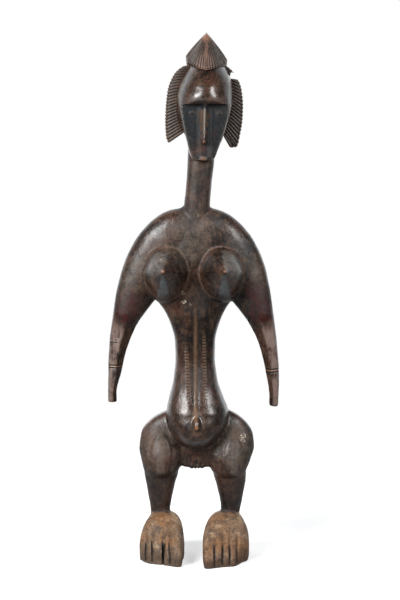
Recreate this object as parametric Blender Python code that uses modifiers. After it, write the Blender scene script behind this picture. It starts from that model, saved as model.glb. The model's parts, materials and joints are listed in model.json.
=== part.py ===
"""Standing female figure carved from one block of hardwood, in the style of a West African shrine figure.

The figure faces -Y and stands on its two flat soles at z = 0. Every form is a loft: a few stations,
each a centre and the reach of the section around it, with smooth sections in between. The lofts of the
body are fused and smoothed like one carved block, and the hair, whose braids are cut much finer, is
joined to it afterwards.
"""

import math

import bmesh
import bpy
import numpy as np

# Driving sizes, in metres
HEIGHT = 0.600  # soles to the tip of the crest
BRAID_GROOVE_DEPTH = 0.0011
CREST_GROOVE_DEPTH = 0.0010
TOE_GROOVE_WIDTH = 0.0036
TOE_GROOVE_DEPTH = 0.0040
FACE_RECESS = 0.0075  # how far the face plane lies behind the brow

# The body's proportions are shares of its height, written in six-hundredths of it
UNIT = HEIGHT / 600
BALANCE = 9.2 * UNIT  # moves the figure back, so that its box is centred on the origin

BRAIDS_PER_TRESS = 25
GROOVES_ROUND_CREST = 44
VOXEL = HEIGHT / 290
BODY_TRIANGLES = 6400
SMOOTHING_PASSES = 3

X_AXIS, Y_AXIS, Z_AXIS = np.eye(3)
LEFT, RIGHT = -1, 1  # as the viewer sees them

# Stations of the vertical lofts: x, y, z of the centre, half width, reach to the front and to the back,
# squareness of the section (2 is an ellipse)
TORSO = [
    (3.0, -10, 129.0, 4, 8, 6, 2.0),
    (2.8, -8, 131.5, 14, 22, 12, 2.0),
    (2.6, -6, 136.0, 22, 30, 16, 2.1),
    (3.0, -4, 145.0, 29.5, 36, 18, 2.1),
    (3.8, -2, 158.0, 34.5, 39, 18, 2.1),
    (3.8, 0, 170.0, 35.6, 38, 18, 2.1),
    (2.6, 0, 186.0, 31.2, 31, 17, 2.2),
    (1.6, 0, 205.0, 25.6, 24.5, 17, 2.3),
    (1.3, 0, 232.0, 22.9, 20, 17, 2.4),
    (1.2, 0, 252.0, 23.6, 19.5, 17.5, 2.4),
    (1.0, 0, 272.0, 28.6, 20, 18.5, 2.3),
    (0.6, 0, 288.0, 36.0, 21, 20, 2.3),
    (0.2, 0, 305.0, 47.0, 22, 22, 2.3),
    (0.0, 0, 340.0, 52.0, 22.5, 24, 2.3),
    (0.0, 0, 372.0, 44.0, 20, 22, 2.2),
    (0.8, 0, 390.0, 33.0, 15, 17, 2.1),
    (1.8, 0, 400.0, 22.0, 11, 13, 2.1),
    (2.6, 0, 405.0, 15.0, 8, 10, 2.0),
]
NECK = [
    (2.0, 1, 386.0, 17.0, 16, 16, 2.2),
    (3.2, 0, 404.0, 14.9, 15, 15, 2.3),
    (5.4, 0, 428.0, 14.6, 15, 15, 2.3),
    (7.4, 1, 450.0, 15.2, 16, 15.5, 2.3),
    (9.4, 4, 480.0, 16.0, 16, 16, 2.3),
]
HEAD = [
    (11.0, -20, 458.2, 6.0, 9, 8, 2.2),
    (10.6, -18, 460.0, 12.0, 24, 12, 2.5),
    (10.4, -16, 463.5, 14.4, 34, 16, 2.6),
    (10.6, -12, 470.0, 16.9, 40, 20, 2.6),
    (11.4, -6, 483.0, 21.2, 50, 26, 2.6),
    (12.2, 0, 499.0, 26.0, 58, 34, 2.6),
    (12.6, 2, 516.0, 29.8, 62, 38, 2.6),
    (12.6, 2, 519.0, 30.2, 60, 38.5, 2.6),
    (12.6, 2, 523.5, 30.9, 46, 39, 2.4),
    (12.6, 2, 530.0, 31.4, 46, 39, 2.2),
    (13.6, 2, 540.0, 30.0, 43.5, 38, 2.0),
    (14.6, 3, 551.0, 26.2, 37.5, 35, 2.0),
    (15.0, 5, 561.0, 20.5, 29.5, 30, 2.0),
    (15.0, 7, 569.0, 12.5, 20, 22, 2.0),
    (15.0, 8, 573.5, 4.0, 8, 9, 2.0),
]
THIGHS = {
    LEFT: [
        (-39.5, 0, 91.5, 8, 9, 8, 2.0),
        (-38.6, 0, 95.0, 17, 18, 20, 2.2),
        (-37.4, 0, 103.0, 21.2, 22, 30, 2.3),
        (-36.4, 0, 114.0, 24.6, 22, 40, 2.3),
        (-35.6, 0, 128.0, 27.4, 19.5, 47, 2.2),
        (-33.5, 0, 144.0, 27.4, 15, 47, 2.2),
        (-27.0, 0, 159.0, 22.6, 10, 36, 2.1),
        (-18.0, 0, 169.0, 14.0, 5, 22, 2.0),
        (-14.0, 0, 173.0, 5.0, 2, 10, 2.0),
    ],
    RIGHT: [
        (42.0, 0, 91.5, 8, 9, 8, 2.0),
        (41.6, 0, 95.0, 17, 18, 20, 2.2),
        (39.8, 0, 103.0, 21.4, 22, 30, 2.3),
        (39.4, 0, 114.0, 25.8, 22, 40, 2.3),
        (40.6, 0, 128.0, 28.6, 19.5, 47, 2.2),
        (39.6, 0, 142.0, 28.2, 15, 47, 2.2),
        (33.0, 0, 159.0, 24.2, 10, 36, 2.1),
        (25.0, 0, 169.0, 18.0, 5, 22, 2.0),
        (20.0, 0, 174.0, 6.0, 2, 10, 2.0),
    ],
}
SHINS = {
    LEFT: [
        (-38.4, 4, 40.0, 11.4, 12, 13, 2.3),
        (-38.9, 4, 50.0, 11.2, 12, 13, 2.3),
        (-38.8, 4, 66.0, 13.4, 14.5, 16, 2.3),
        (-38.6, 3, 84.0, 16.8, 16.5, 19, 2.3),
        (-37.6, 2, 98.0, 19.8, 18, 22, 2.3),
        (-36.4, 2, 112.0, 20.0, 16, 22, 2.3),
    ],
    RIGHT: [
        (41.2, 4, 40.0, 10.6, 12, 13, 2.3),
        (41.8, 4, 50.0, 10.9, 12, 13, 2.3),
        (42.6, 4, 66.0, 13.2, 14.5, 16, 2.3),
        (42.2, 3, 84.0, 16.9, 16.5, 19, 2.3),
        (40.8, 2, 98.0, 19.4, 18, 22, 2.3),
        (39.0, 2, 112.0, 20.0, 16, 22, 2.3),
    ],
}
PELVIS = [
    (3.4, 2, 104.4, 13.0, 9, 12, 3.0),
    (3.4, 2, 106.2, 19.0, 16, 22, 2.8),
    (3.2, 2, 114.0, 23.0, 19, 30, 2.4),
    (3.0, 2, 130.0, 26.0, 20, 34, 2.3),
    (3.0, 2, 160.0, 28.0, 16, 26, 2.2),
    (3.0, 2, 176.0, 20.0, 10, 16, 2.1),
]

# The arms follow their own curve, so their half width is across it
ARMS = {
    LEFT: [
        (-93.2, -9, 181.0, 4.2, 3.2, 3.2, 2.4),
        (-93.2, -9, 182.6, 5.4, 4.4, 4.4, 2.3),
        (-93.3, -9, 192.0, 5.3, 4.9, 4.9, 1.9),
        (-90.3, -8, 218.0, 8.0, 7.5, 7.5, 1.8),
        (-86.2, -6, 246.0, 10.9, 10.5, 10.5, 1.8),
        (-79.0, -4, 274.0, 14.8, 13.5, 13.5, 1.9),
        (-67.4, -2, 303.0, 22.2, 17, 17, 2.0),
        (-52.6, 0, 331.4, 28.8, 20, 20, 2.1),
        (-35.6, 0, 353.6, 33.2, 21, 21, 2.1),
        (-17.0, 0, 366.8, 35.4, 20, 20, 2.1),
        (2.0, 0, 371.0, 32.0, 18, 18, 2.1),
    ],
    RIGHT: [
        (90.8, -9, 176.4, 4.0, 3.2, 3.2, 2.4),
        (91.0, -9, 178.2, 5.4, 4.4, 4.4, 2.3),
        (91.3, -9, 190.0, 5.7, 4.9, 4.9, 1.9),
        (89.2, -8, 218.0, 8.1, 7.5, 7.5, 1.8),
        (85.0, -6, 246.0, 10.4, 10.5, 10.5, 1.8),
        (77.4, -4, 274.0, 14.6, 13.5, 13.5, 1.9),
        (66.0, -2, 302.6, 22.4, 17, 17, 2.0),
        (52.2, 0, 331.0, 29.6, 20, 20, 2.1),
        (35.4, 0, 354.0, 34.0, 21, 21, 2.1),
        (17.6, 0, 366.8, 35.8, 20, 20, 2.1),
        (-2.0, 0, 371.0, 32.0, 18, 18, 2.1),
    ],
}

# Stations of the lofts that run towards the front: x, y, z of the centre, half width, reach down and up,
# squareness. The breasts are mirrored
BREAST = [
    (31.0, -6, 331, 27.5, 35, 31, 2.1),
    (31.2, -18, 331, 27.0, 35, 31, 2.1),
    (31.6, -27, 332, 24.8, 32.5, 27, 2.0),
    (32.4, -38, 334, 19.4, 26.5, 20, 2.0),
    (33.2, -48, 336, 12.2, 16.0, 12, 2.0),
    (33.9, -57, 337.4, 4.8, 5.6, 4.8, 2.0),
    (34.1, -60, 337.6, 2.8, 2.8, 2.8, 2.0),
    (34.2, -63.5, 337.6, 1.6, 1.6, 1.6, 2.0),
]
NAVEL = [
    (3.2, -34, 163, 4.4, 8.5, 7.5, 2.0),
    (3.2, -42, 162, 4.0, 7.5, 6.5, 2.0),
    (3.2, -46, 160, 2.8, 5.0, 4.5, 2.0),
    (3.2, -48, 158, 1.0, 1.5, 1.5, 2.0),
]
NOSE = [
    (11.4, -24, 477.8, 3.6, 13.0, 10, 1.6),
    (11.4, -24, 479.0, 5.8, 17.0, 10, 1.5),
    (11.4, -24, 483.0, 6.4, 18.4, 10, 1.35),
    (11.8, -24, 494.0, 6.0, 16.8, 10, 1.25),
    (12.2, -24, 508.0, 7.6, 15.4, 10, 1.2),
    (12.5, -24, 517.0, 9.6, 15.2, 10, 1.2),
    (12.6, -24, 526.0, 11.0, 14.6, 10, 1.3),
]
EYES = [(-1.8, 511.6), (28.2, 511.0)]
EYE_REACH = (3.0, 2.8, 2.2)
MOUTH = [
    (10.5, -20, 459.0, 7.0, 15.0, 6, 2.6),
    (10.5, -20, 460.4, 7.6, 17.2, 6, 2.6),
    (10.5, -20, 463.0, 6.6, 15.6, 6, 2.6),
]
BREAST_CREASES = (-108, -72, 0, 62, 121, 180)  # degrees round the left breast, as the viewer sees it
BREAST_FLATS = (0.1, 0.75)  # how flat the facets are at the base and at the tip
LABIA = [(-2.6, 108.6), (3.4, 107.8), (9.4, 108.6)]
LABIUM_REACH = (3.4, 5.0, 4.6)
LABIA_Y = -12.5
FEET = {
    LEFT: [
        (-36.0, 37.0, 10, 8.0, 24, 8, 2.2),
        (-36.0, 33.0, 10, 14.5, 24, 21, 2.4),
        (-36.0, 24.0, 10, 19.0, 24, 33, 2.6),
        (-35.2, 8.0, 11, 21.0, 25, 40, 3.2),
        (-34.6, -5.0, 12, 22.3, 26, 40.5, 3.4),
        (-36.2, -18.0, 13, 25.4, 27, 35.0, 3.0),
        (-37.9, -27.0, 13, 25.8, 27, 27.5, 2.8),
        (-37.0, -36.0, 12, 24.4, 26, 19.5, 2.8),
        (-35.8, -44.0, 11, 22.2, 24, 13.0, 2.8),
        (-35.0, -47.2, 9, 19.4, 23, 8.5, 2.7),
        (-34.6, -48.8, 7, 15.5, 21, 4.0, 2.5),
    ],
    RIGHT: [
        (40.0, 37.0, 10, 8.0, 24, 8, 2.2),
        (40.0, 33.0, 10, 14.5, 24, 21, 2.4),
        (39.6, 24.0, 10, 19.0, 24, 33, 2.6),
        (37.6, 8.0, 11, 22.0, 25, 40, 3.2),
        (36.8, -5.0, 12, 24.2, 26, 40.5, 3.3),
        (36.6, -18.0, 13, 26.8, 27, 35.5, 3.1),
        (35.6, -30.0, 13, 26.0, 27, 26.5, 2.8),
        (33.4, -41.0, 12, 23.6, 26, 18, 2.8),
        (31.4, -51.0, 10, 20.4, 24, 12.5, 2.8),
        (30.8, -56.0, 9, 18.4, 23, 7.5, 2.7),
        (30.6, -58.4, 7, 14.8, 21, 3.5, 2.5),
    ],
}
TOE_SLANT = {LEFT: 0.48, RIGHT: 0.38}  # the outer toes lie this share of their distance further back
TOE_GROOVES = {LEFT: (-54.5, -46.8, -34.2, -26.6), RIGHT: (24.4, 33.4, 41.6, 49.6)}
TOES_START = {LEFT: -24.0, RIGHT: -30.0}  # y where the grooves between the toes run out
TOES_FULL = {LEFT: -36.0, RIGHT: -44.0}  # and where they have their full depth

BROW_Z = 521.5
BROW_Y = -39.5
FOREHEAD_SWELL = 9.0  # the forehead may reach this much further forward than the brow's edge
SWELL_RISE = 12.0  # and gets there over this height
BROW_X, BROW_HALF = 12.6, 31.0  # the middle of the brow and half its width
BROW_ROUNDING = 7.0  # how far its ends lie behind its middle
CHIN_Z = HEAD[0][2]
CHIN_Y = -33.0

# Hair. The tresses are lofts whose sections are the braids: from an inner, higher point to an outer one
CREST_CENTRE = (14.2, 8.0)
CREST_HALF = (23.4, 39.0)
CREST_RIDGE = ((-2.0, 598.8), (14.0, 600.0), (34.0, 590.0))  # y and z along the ridge
CREST_FRONT_Z, CREST_BACK_Z = 566.5, 545.0
CREST_SIDE_Z = {LEFT: 574.0, RIGHT: 569.5}
CREST_RIM = 7.0
CREST_BULGE = 5.0  # the braids bow outwards between the ridge and the rim
CREST_FRONT_POINT = 1.35  # above 1 the rim comes to a point at the front
TRESS_Y = 8.0
TRESS_HALF_THICKNESS = 6.5
TRESS_OUTER = {
    LEFT: [(-12, 562.6), (-17.9, 558.6), (-23.8, 551.4), (-29.8, 536), (-32.2, 516), (-32.8, 500),
           (-31.8, 482), (-29.2, 475.6)],
    RIGHT: [(38, 562), (43, 557.6), (48.9, 549.5), (54, 536), (55.7, 518), (55.2, 503),
            (52.6, 486), (48.0, 470.9), (41.0, 470.4)],
}
TRESS_INNER = {
    LEFT: [(1, 564), (-2, 560.5), (-5.5, 556), (-9.5, 544), (-11.5, 525), (-11.5, 510), (-11, 495),
           (-9, 489.5)],
    RIGHT: [(28, 563.5), (33, 560), (36, 555.5), (38.5, 545), (39.5, 531), (39, 518), (37, 505), (34.5, 494),
            (32.5, 485)],
}
CHIP_CENTRE = (47.6, 8.0, 550.9)
CHIP_SIZE = (14.0, 20.0, 7.2)
CHIP_TILT = math.radians(10)


def eased(stations, count):
    """Rows spread evenly along the stations. Each column follows a cubic that never overshoots a station."""
    table = np.array(stations, float)
    reach = 3 if table.shape[1] > 3 else 2
    steps = np.linalg.norm(np.diff(table[:, :reach], axis=0), axis=1)
    along = np.concatenate([[0.0], np.cumsum(steps)])
    slopes = np.diff(table, axis=0) / steps[:, None]
    before, after = slopes[:-1], slopes[1:]
    turning = before * after <= 0
    tangents = np.zeros_like(table)
    total = np.where(turning, 1.0, before + after)
    tangents[1:-1] = np.where(turning, 0.0, 2 * before * after / total)
    tangents[0], tangents[-1] = slopes[0], slopes[-1]
    at = np.linspace(0.0, along[-1], count)
    i = np.clip(np.searchsorted(along, at, side="right") - 1, 0, len(steps) - 1)
    span = steps[i][:, None]
    u = (at - along[i])[:, None] / span
    return (
        (1 + 2 * u) * (1 - u) ** 2 * table[i]
        + u * (1 - u) ** 2 * span * tangents[i]
        + u * u * (3 - 2 * u) * table[i + 1]
        - u * u * (1 - u) * span * tangents[i + 1]
    )


def signed_power(value, exponent):
    return np.sign(value) * np.abs(value) ** exponent


def loft(stations, rings=40, around=48, depth=Y_AXIS, follow=False, carve=None):
    """One closed form as (points, faces), in metres. Its sections lie across X and the depth axis or,
    with follow, across the curve through their centres. Carve moves the points of the finished form."""
    rows = eased(stations, rings)
    centres = rows[:, :3]
    side = np.tile(X_AXIS, (rings, 1))
    if follow:
        run = np.gradient(centres, axis=0)
        side = np.cross(np.tile(Y_AXIS, (rings, 1)), run)
        side /= np.linalg.norm(side, axis=1)[:, None]
    turn = np.linspace(0, 2 * math.pi, around, endpoint=False)
    power = 2 / rows[:, 6:7]
    across = signed_power(np.cos(turn)[None, :], power) * rows[:, 3:4]
    through = signed_power(np.sin(turn)[None, :], power)
    through = through * np.where(through < 0, rows[:, 4:5], rows[:, 5:6])
    points = centres[:, None, :] + across[..., None] * side[:, None, :] + through[..., None] * depth
    if carve:
        points = carve(points)
    points = np.concatenate([points.reshape(-1, 3), centres[:1], centres[-1:]]) * UNIT
    return points, tube_faces(rings, around)


def tube_faces(rings, around):
    """Faces between neighbouring rings, with a fan to the last two points at either end."""
    first, last = rings * around, rings * around + 1
    faces = []
    for ring in range(rings - 1):
        for i in range(around):
            j = (i + 1) % around
            low, high = ring * around, (ring + 1) * around
            faces.append((low + i, low + j, high + j, high + i))
    for i in range(around):
        j = (i + 1) % around
        faces.append((first, j, i))
        faces.append((last, (rings - 1) * around + i, (rings - 1) * around + j))
    return faces


def mirrored(stations):
    return [(-row[0], *row[1:]) for row in stations]


def ball(centre, reach):
    """A closed form of that reach in x, y and z around its centre."""
    tilt = np.linspace(-1, 1, 9) * math.pi / 2 * 0.98
    rows = [
        (centre[0], centre[1] + reach[1] * math.sin(a), centre[2],
         reach[0] * math.cos(a), reach[2] * math.cos(a), reach[2] * math.cos(a), 2.0)
        for a in tilt
    ]
    return loft(rows, rings=18, around=20, depth=Z_AXIS)


def face_plane(z):
    """How far forward the head reaches at a height: the flat face lies behind the brow."""
    down = np.clip((BROW_Z - z) / (BROW_Z - CHIN_Z), 0, 1)
    top = BROW_Y + FACE_RECESS / UNIT
    swell = FOREHEAD_SWELL * np.sin(np.clip((z - BROW_Z) / SWELL_RISE, 0, 1) * math.pi / 2)
    return np.where(z < BROW_Z, top + (CHIN_Y - top) * down, BROW_Y - swell)


def flatten_face(points):
    cut = points.copy()
    above = points[..., 2] >= BROW_Z
    rounding = BROW_ROUNDING * ((points[..., 0] - BROW_X) / BROW_HALF) ** 2
    cut[..., 1] = np.maximum(points[..., 1], face_plane(points[..., 2]) + above * rounding)
    return cut


def carve_toes(side):
    """The carving of one foot: grooves between the toes, and the outer toes set back."""
    middle = FEET[side][6][0]
    groove_x = np.array(TOE_GROOVES[side])
    half_width = TOE_GROOVE_WIDTH / UNIT / 2
    depth = TOE_GROOVE_DEPTH / UNIT

    def carve(points):
        x, y, z = (points[..., i] for i in range(3))
        toes = np.clip((TOES_START[side] - y) / (TOES_START[side] - TOES_FULL[side]), 0, 1)
        nearest = np.abs(x[..., None] - groove_x).min(axis=-1)
        cut = depth * toes * np.clip(1 - nearest / half_width, 0, 1) * (z > 0)
        outward = np.clip((x - middle) * side, -30, 30)
        moved = points.copy()
        moved[..., 1] = y + cut * 0.8 + outward * TOE_SLANT[side] * toes
        moved[..., 2] = z - cut * 0.7
        return moved

    return carve


def facet_breast(side):
    """The flats that the knife left on a breast: from round at its base to faceted at its tip."""
    creases = np.radians(BREAST_CREASES if side == LEFT else [180 - a for a in BREAST_CREASES[::-1]])

    def carve(points):
        rings, around = points.shape[:2]
        middle = (points[:, :1] + points[:, around // 2:around // 2 + 1]) / 2
        reach = points - middle
        angle = np.arctan2(reach[..., 2], reach[..., 0])
        flat = np.ones((rings, around))
        for low, high in zip(creases, np.append(creases[1:], creases[0] + 2 * math.pi)):
            past = (angle - low) % (2 * math.pi)
            inside = past < high - low
            chord = math.cos((high - low) / 2) / np.cos(past - (high - low) / 2)
            flat = np.where(inside, chord, flat)
        share = np.linspace(BREAST_FLATS[0], BREAST_FLATS[1], rings)[:, None]
        return middle + reach * (1 + (flat - 1) * share)[..., None]

    return carve


def body_forms():
    """Every loft that is fused into the body."""
    forms = [
        loft(TORSO, rings=90, around=72),
        loft(NECK),
        loft(HEAD, rings=110, around=96, carve=flatten_face),
        loft(PELVIS),
        loft(BREAST, rings=36, depth=Z_AXIS, carve=facet_breast(RIGHT)),
        loft(mirrored(BREAST), rings=36, depth=Z_AXIS, carve=facet_breast(LEFT)),
        loft(NAVEL, rings=16, around=24, depth=Z_AXIS),
        loft(NOSE, rings=30, around=32),
        loft(MOUTH, rings=10, around=32),
    ]
    forms += [ball((x, face_plane(z), z), EYE_REACH) for x, z in EYES]
    forms += [ball((x, LABIA_Y, z), LABIUM_REACH) for x, z in LABIA]
    for side in (LEFT, RIGHT):
        forms.append(loft(ARMS[side], rings=90, around=48, follow=True))
        forms.append(loft(THIGHS[side], rings=60, around=56))
        forms.append(loft(SHINS[side], rings=40))
        forms.append(loft(FEET[side], rings=70, around=120, depth=Z_AXIS, carve=carve_toes(side)))
    return forms


def crest_form(grooves, rings=6):
    """The grooved cap of hair: braids that run from a short ridge down to an overhanging rim."""
    around = grooves * 2
    turn = np.linspace(0, 2 * math.pi, around, endpoint=False) + math.pi / around
    ridge_y, ridge_z = np.array(CREST_RIDGE).T
    centre_x, centre_y = CREST_CENTRE
    point = np.where(np.sin(turn) < 0, CREST_FRONT_POINT, 0.92)
    base_x = centre_x + CREST_HALF[0] * signed_power(np.cos(turn), point)
    base_y = centre_y + CREST_HALF[1] * signed_power(np.sin(turn), point)
    front = np.clip((centre_y - base_y) / CREST_HALF[1], 0, 1) ** 2
    back = np.clip((base_y - centre_y) / CREST_HALF[1], 0, 1) ** 1.5
    side_z = np.interp(np.cos(turn), [-1, 1], [CREST_SIDE_Z[LEFT], CREST_SIDE_Z[RIGHT]])
    base_z = side_z + (CREST_FRONT_Z - side_z) * front + (CREST_BACK_Z - side_z) * back
    base = np.stack([base_x, base_y, base_z], axis=1)
    top_y = np.clip(base_y, ridge_y[0], ridge_y[-1])
    top = np.stack([np.full(around, centre_x), top_y, np.interp(top_y, ridge_y, ridge_z)], axis=1)
    outward = base - np.array([centre_x, centre_y, 0]) * [1, 1, 0]
    outward[:, 2] = 0
    outward /= np.linalg.norm(outward, axis=1)[:, None]
    cut = np.where(np.arange(around) % 2 == 0, 0.0, CREST_GROOVE_DEPTH / UNIT)[:, None]
    shares = np.linspace(0.06, 1, rings)
    layers = []
    for share in shares:
        layer = top + (base - top) * share + outward * CREST_BULGE * share * (1 - share)
        layer[:, 2] -= cut[:, 0] * min(1, share * 2)
        layers.append(layer - outward * cut * min(1, share * 2))
    rim = base - outward * (cut + 0.4) - [0, 0, CREST_RIM]
    under = base - outward * 7 - [0, 0, CREST_RIM + 1.0]
    layers += [rim, under]
    points = np.array(layers)[::-1]
    ends = [[centre_x, centre_y, CREST_BACK_Z + 12], [centre_x, ridge_y[1], ridge_z[1]]]
    points = np.concatenate([points.reshape(-1, 3), ends]) * UNIT
    return points, tube_faces(len(layers), around)


def tress_form(side, braids, around=8):
    """One side tress: a plate of slanting braids with a groove between each pair."""
    sections = braids * 2 + 1
    outer = eased(TRESS_OUTER[side], sections)
    inner = eased(TRESS_INNER[side], sections)
    turn = np.linspace(0, 2 * math.pi, around, endpoint=False)
    rings = []
    for i, (o, n) in enumerate(zip(outer, inner)):
        cut = BRAID_GROOVE_DEPTH / UNIT if i % 2 else 0.0
        centre, half = (o + n) / 2, (o - n) / 2
        length = np.linalg.norm(half)
        along = signed_power(np.cos(turn), 0.6) * (1 - cut / length)
        through = signed_power(np.sin(turn), 0.6) * (TRESS_HALF_THICKNESS - cut)
        ring = np.empty((around, 3))
        ring[:, 0] = centre[0] + half[0] * along
        ring[:, 1] = TRESS_Y + through
        ring[:, 2] = centre[1] + half[1] * along
        rings.append(ring if side == LEFT else ring[::-1])
    points = np.array(rings)
    ends = [points[0].mean(axis=0), points[-1].mean(axis=0)]
    points = np.concatenate([points.reshape(-1, 3), ends]) * UNIT
    return points, tube_faces(sections, around)


def collection(name):
    made = bpy.data.collections.new(name)
    bpy.context.scene.collection.children.link(made)
    return made


def object_from(name, forms, where):
    """One mesh object of all these forms, which may overlap, with their faces turned outwards."""
    mesh = bpy.data.meshes.new(name)
    points, faces, count = [], [], 0
    for form_points, form_faces in forms:
        points.append(form_points)
        faces += [tuple(i + count for i in face) for face in form_faces]
        count += len(form_points)
    mesh.from_pydata(np.concatenate(points).tolist(), [], faces)
    work = bmesh.new()
    work.from_mesh(mesh)
    bmesh.ops.recalc_face_normals(work, faces=work.faces)
    work.to_mesh(mesh)
    work.free()
    made = bpy.data.objects.new(name, mesh)
    where.objects.link(made)
    return made


def box(name, centre, size, where, tilt=0.0):
    """A helper block of that size in metres, which only cuts."""
    mesh = bpy.data.meshes.new(name)
    work = bmesh.new()
    bmesh.ops.create_cube(work, size=1.0)
    bmesh.ops.scale(work, vec=size, verts=work.verts)
    work.to_mesh(mesh)
    work.free()
    made = bpy.data.objects.new(name, mesh)
    made.location = centre
    made.rotation_euler[1] = tilt
    where.objects.link(made)
    return as_helper(made)


def as_helper(made):
    made.hide_render = True
    made.display_type = "WIRE"
    return made


def combine(target, tools, operation):
    """Joins or cuts the target with every object of a collection at once."""
    step = target.modifiers.new(f"{operation.lower()} {tools.name}", "BOOLEAN")
    step.operation = operation
    step.operand_type = "COLLECTION"
    step.collection = tools


def patina():
    """The dark, half-polished skin of oil and handling on the wood."""
    made = bpy.data.materials.new("dark patinated hardwood")
    made.use_nodes = True
    shader = made.node_tree.nodes["Principled BSDF"]
    shader.inputs["Base Color"].default_value = (0.055, 0.036, 0.028, 1)
    shader.inputs["Roughness"].default_value = 0.38
    shader.inputs["Metallic"].default_value = 0.0
    return made


def clear_scene():
    for found in list(bpy.data.objects):
        bpy.data.objects.remove(found, do_unlink=True)


def build():
    clear_scene()
    shown, hair, cutters = collection("fertility figure"), collection("hair forms"), collection("cutters")
    figure = object_from("figure", body_forms(), shown)

    fuse = figure.modifiers.new("fuse the forms", "REMESH")
    fuse.mode = "VOXEL"
    fuse.voxel_size = VOXEL
    smooth = figure.modifiers.new("soften the joins", "SMOOTH")
    smooth.factor = 0.5
    smooth.iterations = SMOOTHING_PASSES
    bpy.context.view_layer.update()
    fused = figure.evaluated_get(bpy.context.evaluated_depsgraph_get())
    facets = figure.modifiers.new("broad knife facets", "DECIMATE")
    facets.ratio = BODY_TRIANGLES / (2 * len(fused.data.polygons))

    as_helper(object_from("crest", [crest_form(GROOVES_ROUND_CREST)], hair))
    as_helper(object_from("left tress", [tress_form(LEFT, BRAIDS_PER_TRESS)], hair))
    as_helper(object_from("right tress", [tress_form(RIGHT, BRAIDS_PER_TRESS)], hair))
    combine(figure, hair, "UNION")
    box("chip", np.array(CHIP_CENTRE) * UNIT, np.array(CHIP_SIZE) * UNIT, cutters, CHIP_TILT)
    box("ground", (0, 0, -HEIGHT / 20), (HEIGHT, HEIGHT, HEIGHT / 10), cutters)
    combine(figure, cutters, "DIFFERENCE")

    figure.data.materials.append(patina())
    figure.data.shade_smooth()
    for placed in (figure, *hair.objects, *cutters.objects):
        placed.location.y += BALANCE
    return figure


build()
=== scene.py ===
# %% [markdown]
# # A carved standing figure
#
# This lesson dresses the plain solid of a wooden standing figure. The real one was cut from a single
# block of hardwood with an adze and a knife, then oiled and handled until it turned dark and glossy.
# The solid gives its place and size. Here the same forms are built much finer, the small carving is
# cut into them, and one finish is painted over the whole, because the real one is one piece of wood.

# %% Load the frame
import json
import math

import bmesh
import bpy
import numpy as np
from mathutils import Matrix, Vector

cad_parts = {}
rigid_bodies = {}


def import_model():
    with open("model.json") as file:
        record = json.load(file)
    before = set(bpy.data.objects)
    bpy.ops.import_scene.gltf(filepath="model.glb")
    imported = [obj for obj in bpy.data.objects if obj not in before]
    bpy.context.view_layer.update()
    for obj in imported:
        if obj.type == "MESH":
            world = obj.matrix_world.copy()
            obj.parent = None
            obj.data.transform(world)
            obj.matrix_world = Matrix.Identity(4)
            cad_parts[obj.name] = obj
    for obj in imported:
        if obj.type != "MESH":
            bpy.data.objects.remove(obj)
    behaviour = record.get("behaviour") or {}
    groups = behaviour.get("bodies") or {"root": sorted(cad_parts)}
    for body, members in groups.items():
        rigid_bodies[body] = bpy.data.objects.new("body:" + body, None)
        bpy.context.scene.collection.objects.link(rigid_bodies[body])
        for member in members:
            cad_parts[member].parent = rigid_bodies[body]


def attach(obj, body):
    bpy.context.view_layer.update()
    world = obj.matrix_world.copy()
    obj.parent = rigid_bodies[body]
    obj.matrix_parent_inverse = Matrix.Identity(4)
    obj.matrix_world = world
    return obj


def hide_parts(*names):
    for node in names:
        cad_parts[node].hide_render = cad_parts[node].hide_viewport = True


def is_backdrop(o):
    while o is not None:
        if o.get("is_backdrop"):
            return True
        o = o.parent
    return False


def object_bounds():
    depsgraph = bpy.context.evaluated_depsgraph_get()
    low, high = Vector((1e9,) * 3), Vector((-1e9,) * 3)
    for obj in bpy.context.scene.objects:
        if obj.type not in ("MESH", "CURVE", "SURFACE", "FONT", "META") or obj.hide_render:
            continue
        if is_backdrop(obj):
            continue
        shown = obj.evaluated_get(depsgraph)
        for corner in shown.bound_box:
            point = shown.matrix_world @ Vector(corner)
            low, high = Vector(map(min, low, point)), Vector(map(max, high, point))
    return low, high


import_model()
solid_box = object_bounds()
print("the solid's box, mm:", [[round(1000 * v, 1) for v in corner] for corner in solid_box])

# %% [markdown]
# ## The camera
#
# The figure is seen straight from the front and a little from above, so the tops of the feet show. A
# long lens from two and a half metres keeps the proportions as they are. The numbers below were found
# from the places of the crest, the hands and the soles.

# %% Place the camera
HEIGHT = 0.600  # soles to the tip of the crest
UNIT = HEIGHT / 600  # the sizes below are six-hundredths of the height
BALANCE = 9.2  # the whole figure stands this much further back than its neck axis
CAMERA_DISTANCE = 2500
CAMERA_DROP = math.radians(8)  # how far the camera looks down
AIM = Vector((6.83, BALANCE, 297.6))
FRAME_SIDE = 600  # the long side of the picture, in pixels
FOCAL_PIXELS = 2195

camera = bpy.data.objects.new("camera", bpy.data.cameras.new("camera"))
bpy.context.scene.collection.objects.link(camera)
bpy.context.scene.camera = camera
towards = Vector((0, math.cos(CAMERA_DROP), -math.sin(CAMERA_DROP)))
camera.location = (AIM - towards * CAMERA_DISTANCE) * UNIT
camera.rotation_euler = towards.to_track_quat("-Z", "Y").to_euler()
camera.data.sensor_width = 36
camera.data.lens = camera.data.sensor_width * FOCAL_PIXELS / FRAME_SIDE
print("lens, mm:", round(camera.data.lens, 1), "camera at", [round(v, 3) for v in camera.location])

# %% [markdown]
# ## The studio
#
# Dark, oiled wood shows its form by what it mirrors. Two large softboxes stand in front, one on each
# side, and give the forehead and the belly their two soft highlights. A white surround behind the
# figure gives the thin bright rims, and the white floor lights everything that faces down. The surround
# is a world shader whose brightness follows the direction, which is simpler than building walls.

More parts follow.
